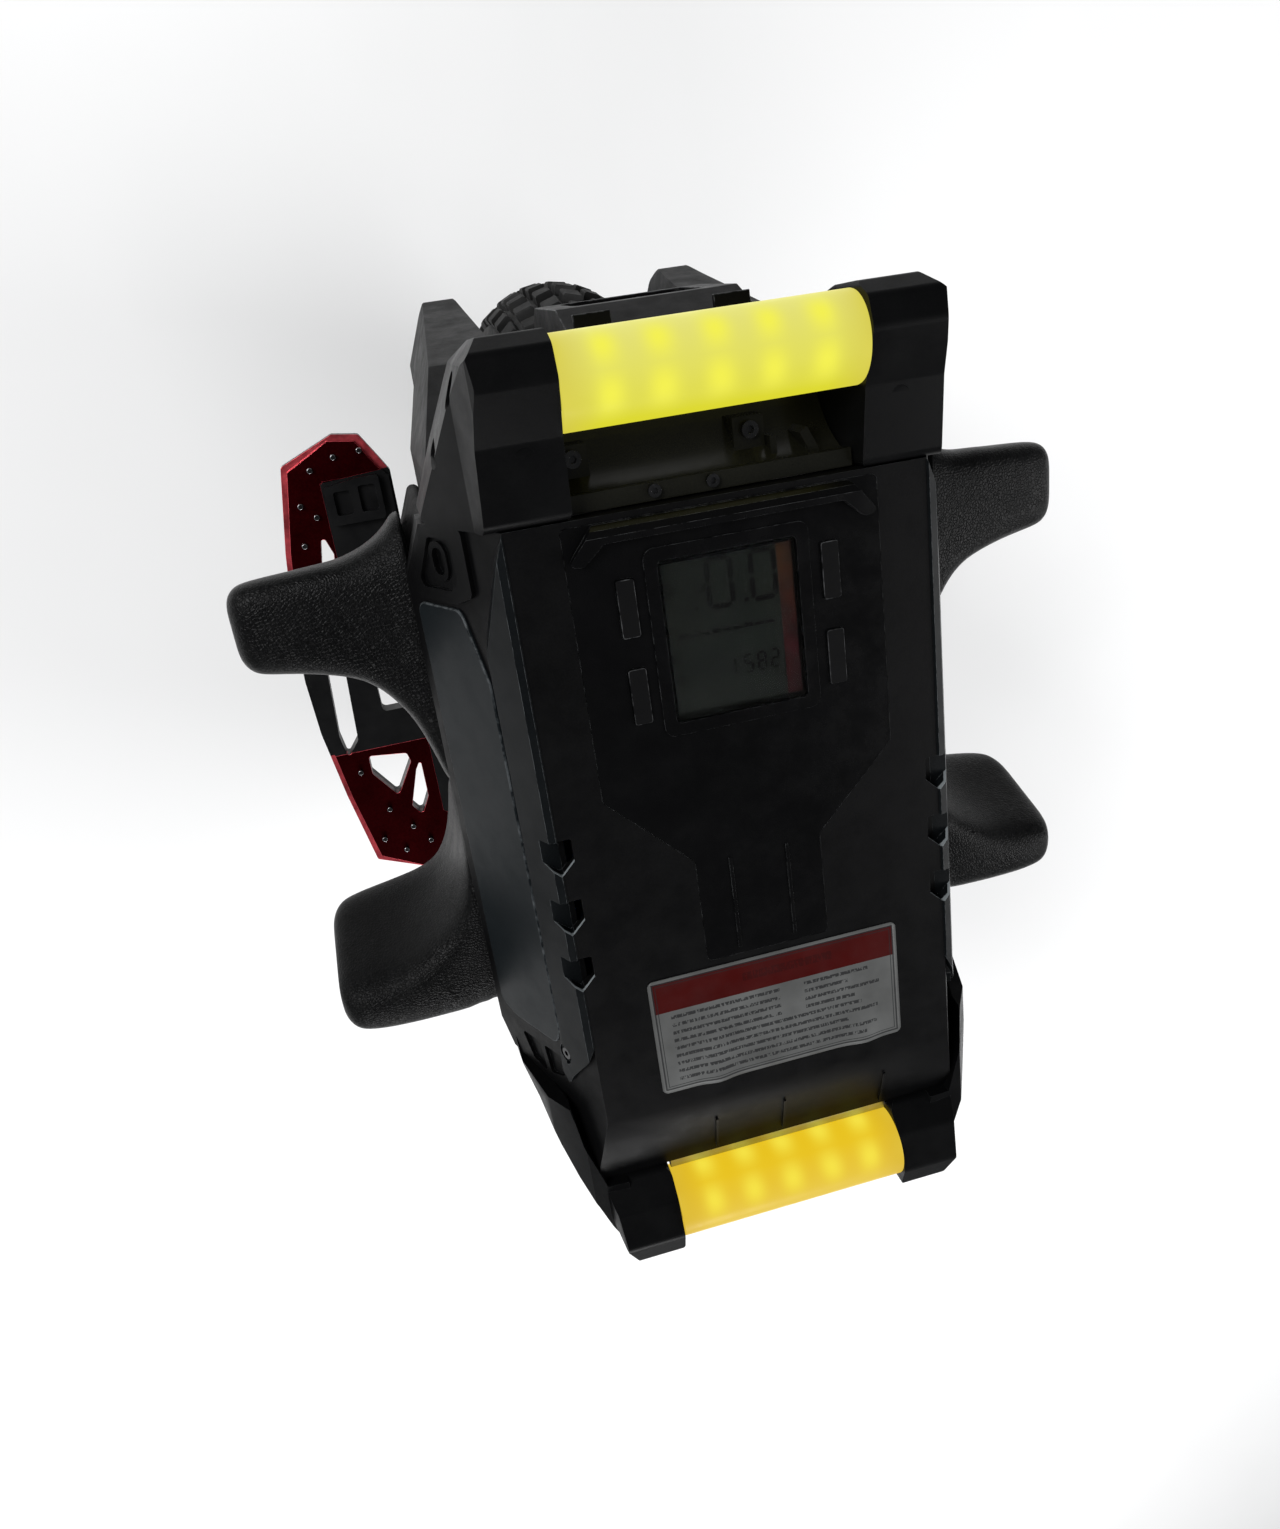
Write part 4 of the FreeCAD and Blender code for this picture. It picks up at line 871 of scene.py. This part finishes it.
def area_light(name, place, size, power):
    data = bpy.data.lights.new(name, "AREA")
    data.shape = "RECTANGLE"
    data.size, data.size_y = size
    data.energy = power
    lamp = bpy.data.objects.new(name, data)
    lamp.location = place
    lamp.rotation_euler = (LAMP_TARGET - Vector(place)).to_track_quat("-Z", "Y").to_euler()
    bpy.context.scene.collection.objects.link(lamp)


def studio():
    """Plain pale floor, a dim even surround and three soft lamps."""
    bm = bmesh.new()
    corners = ((-1, -1), (1, -1), (1, 1), (-1, 1))
    bm.faces.new([bm.verts.new((FLOOR_HALF * x, FLOOR_HALF * y, 0)) for x, y in corners])
    floor = from_bmesh("floor", bm, floor_paint())
    world = bpy.data.worlds.new("surround")
    world.use_nodes = True
    background = world.node_tree.nodes["Background"]
    background.inputs["Color"].default_value = SURROUND
    background.inputs["Strength"].default_value = SURROUND_STRENGTH
    bpy.context.scene.world = world
    for name, (place, size, power) in LAMPS.items():
        area_light(name, place, size, power)


def camera():
    """Looks down on the deck from above its left front, tilted so that the front handle is on top."""
    data = bpy.data.cameras.new("camera")
    data.lens = CAMERA_LENS
    data.sensor_width = CAMERA_SENSOR
    data.clip_start, data.clip_end = CAMERA_CLIP
    rig = bpy.data.objects.new("camera", data)
    right = Vector(CAMERA_RIGHT).normalized()
    back = Vector(CAMERA_BACK).normalized()
    up = back.cross(right).normalized()
    right = up.cross(back)
    axes = Matrix((right, up, back)).transposed()
    rig.matrix_world = Matrix.Translation(CAMERA_PLACE) @ axes.to_4x4()
    bpy.context.scene.collection.objects.link(rig)
    bpy.context.scene.camera = rig
    bpy.context.scene.view_settings.view_transform = "Standard"


# Colour of the painted highlight along the scoops' rims.
SCOOP_RIM_HIGHLIGHT = (0.20, 0.22, 0.23)


def make_materials():
    lcd_low, lcd_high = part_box("display_lens")
    label_low, label_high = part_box("label_plate")
    front = sum(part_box("front_handle_tube"), Vector()) / 2
    rear = sum(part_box("rear_handle_tube"), Vector()) / 2
    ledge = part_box("right_pedal_ends")[1].z - PEDAL_LEDGE / 2
    return {
        # Each edge colour after the base colours is lighter than the base: part wear, part a painted
        # highlight on the rounded edges.
        "shell": coated(
            "shell_plastic", (0.0011, 0.0011, 0.0012), (0.0022, 0.0022, 0.0024), grain=0.0007, relief=0.00005,
            rough=(0.36, 0.52), worn_and_highlight=(0.048, 0.050, 0.052), wear_and_highlight_strength=1.0, rim=SCOOP_RIM_HIGHLIGHT, specular=0.06),
        "bracket": coated(
            "bracket_coat", (0.0012, 0.0012, 0.0013), (0.0026, 0.0027, 0.0029), grain=0.0005, relief=0.00004,
            rough=(0.30, 0.44), worn_and_highlight=(0.036, 0.038, 0.040), wear_and_highlight_strength=0.9, specular=0.05),
        "case": coated(
            "case_plastic", (0.0020, 0.0020, 0.0022), (0.0042, 0.0043, 0.0046), grain=0.0011, relief=0.0001,
            rough=(0.45, 0.62), worn_and_highlight=(0.014, 0.014, 0.015), wear_and_highlight_strength=0.6, specular=0.12),
        "rail": coated(
            "rail_plastic", (0.0020, 0.0025, 0.0029), (0.0038, 0.0046, 0.0052), grain=0.0007, relief=0.00004,
            rough=(0.3, 0.42), worn_and_highlight=(0.120, 0.130, 0.136), wear_and_highlight_strength=1.6, rim=SCOOP_RIM_HIGHLIGHT, specular=0.06),
        "cover": coated(
            "cover_slate", (0.0042, 0.0055, 0.0064), (0.0066, 0.0084, 0.0096), grain=0.0006, relief=0.00002,
            rough=(0.28, 0.40), worn_and_highlight=(0.060, 0.066, 0.070), wear_and_highlight_strength=0.9, specular=0.055),
        "panel": coated(
            "panel_gloss", (0.0010, 0.0010, 0.0011), (0.0018, 0.0018, 0.0020), grain=0.0005, relief=0.00002,
            rough=(0.20, 0.34), worn_and_highlight=(0.060, 0.062, 0.064), wear_and_highlight_strength=1.3, specular=0.08),
        "key": coated(
            "key_rubber", (0.0011, 0.0011, 0.0012), (0.0022, 0.0022, 0.0025), grain=0.0004, relief=0.00005,
            rough=(0.5, 0.7), worn_and_highlight=(0.055, 0.056, 0.058), wear_and_highlight_strength=1.0, specular=0.06),
        # The guard's yellow tint, and that of its lighter edges, is a painted glow from the front lamp tube.
        "guard": coated(
            "guard_gloss", (0.0045, 0.0045, 0.0034), (0.0075, 0.0075, 0.0055), grain=0.0009, relief=0.00001,
            rough=(0.14, 0.26), worn_and_highlight=(0.05, 0.05, 0.035), wear_and_highlight_strength=0.8, specular=0.16),
        "plate": coated(
            "pad_plate", (0.0018, 0.0018, 0.0020), (0.0036, 0.0036, 0.0038), grain=0.0009, relief=0.00012,
            rough=(0.6, 0.8), specular=0.12),
        "pedal": coated(
            "pedal_coat", (0.0014, 0.0014, 0.0016), (0.0032, 0.0033, 0.0036), grain=0.0005, relief=0.00005,
            rough=(0.35, 0.5), worn_and_highlight=(0.100, 0.100, 0.108), wear_and_highlight_strength=1.0, specular=0.14),
        "motor": coated(
            "motor_coat", (0.0022, 0.0022, 0.0024), (0.0050, 0.0050, 0.0053), grain=0.0007, relief=0.00006,
            rough=(0.35, 0.5), worn_and_highlight=(0.04, 0.04, 0.043), wear_and_highlight_strength=0.6, specular=0.18),
        "tail": coated(
            "tail_lens", (0.060, 0.0020, 0.0020), (0.100, 0.0040, 0.0035), grain=0.002, relief=0.00005,
            rough=(0.12, 0.22), specular=0.4),
        "wrap": coated(
            "pack_wrap", (0.02, 0.06, 0.2), (0.03, 0.08, 0.26), grain=0.003, relief=0.00008,
            rough=(0.2, 0.35), specular=0.5),
        "circuit": coated(
            "circuit_white", (0.6, 0.6, 0.56), (0.7, 0.7, 0.66), grain=0.001, relief=0.00003,
            rough=(0.4, 0.5), specular=0.4),
        "red": metal(
            "red_anodised", (0.036, 0.0012, 0.0020), (0.30, 0.45), relief=0.00003,
            worn_and_highlight=(0.70, 0.09, 0.11), ledge=ledge),
        "steel": metal("bright_steel", (0.40, 0.40, 0.41), (0.18, 0.34)),
        "screw": metal("black_screw", (0.05, 0.05, 0.052), (0.2, 0.34), worn_and_highlight=(0.35, 0.35, 0.36)),
        "chrome": metal("chromed_steel", (0.72, 0.72, 0.73), (0.05, 0.12), direction=(1, 1, 0.05)),
        "alloy": metal("machined_alloy", (0.58, 0.59, 0.6), (0.25, 0.4), direction=(0.05, 1, 1)),
        "spring": metal("spring_phosphate", (0.06, 0.06, 0.065), (0.3, 0.45)),
        "front_light": diffuser(
            "front_diffuser", front, (0.80, 0.77, 0.190), (0.74, 0.71, 0.028), spot=(0.94, 0.91, 0.075),
            end_tint=(0.66, 0.57, 0.075), rows=(50, 108)),
        "rear_light": diffuser(
            "rear_diffuser", rear, (0.84, 0.56, 0.012), (0.80, 0.58, 0.085), spot=(0.96, 0.80, 0.060),
            end_tint=(0.68, 0.44, 0.030), rows=(0, 64)),
        "glass": glass(),
        "lcd": display_face(lcd_low, lcd_high),
        "figure": display_ink(),
        "gauge": display_column(lcd_low, lcd_high),
        "label": label_print(label_low, label_high),
        "pad": leather(),
        "tyre": tyre_rubber(),
    }


# How far each node's edges are rounded, in mm, and its material
SOFTENED = {
    "top_shell": (0.9, "shell"), "display_panel": (0.5, "panel"), "headlight": (1.2, "shell"),
    "front_guard": (0.7, "guard"), "mudguard": (0.5, "case"), "rear_cover": (0.7, "case"),
    "rear_trim": (0.4, "alloy"), "tail_light": (0.8, "tail"), "cover_screws": (0.25, "screw"),
    "motor_screws": (0.25, "screw"), "rim": (0.8, "motor"), "front_handle_tube": (0.9, "front_light"),
    "rear_handle_tube": (0.9, "rear_light"), "display_lens": (0.25, "glass"),
    "headlight_lens": (0.5, "glass"),
}
SOFTENED_SIDES = {
    "motor_cover": (0.7, "motor"), "case": (1.4, "case"), "side_rail": (0.8, "rail"),
    "side_cover": (0.9, "cover"), "pad_base": (2.0, "plate"), "pedal": (0.9, "pedal"),
    "pedal_ends": (2.2, "red"), "pedal_studs": (0.5, "screw"), "pedal_hanger": (1.0, "pedal"),
    "slider": (0.8, "alloy"),
}
SOFTENED_CORNERS = {"bracket": (2.2, "bracket"), "key": (0.7, "key")}
DRESSED = {
    "wheel_bearings": "steel", "stator": "steel", "axle": "steel", "stanchions": "chrome",
    "battery_packs": "wrap", "controller": "alloy", "lcd_module": "lcd", "handle_cores": "alloy",
    "led_strips": "circuit", "pedal_pins": "steel",
}


def build():
    """Rounds or dresses most CAD nodes, then makes the pieces that stand for the rest or add to them."""
    for node, (width, finish) in SOFTENED.items():
        soften(node, width, MATERIALS[finish])
    for node, (width, finish) in SOFTENED_SIDES.items():
        for side in SIDES:
            soften(side + "_" + node, width, MATERIALS[finish])
    for node, (width, finish) in SOFTENED_CORNERS.items():
        for corner in CORNERS:
            soften(corner + "_" + node, width, MATERIALS[finish])
    for node, finish in DRESSED.items():
        dress(node, MATERIALS[finish])
    tyre()
    fork_springs()
    for corner in CORNERS:
        leg_pad(corner + "_pad")
    display_marks()
    label()


camera()
studio()
MATERIALS = make_materials()
build()
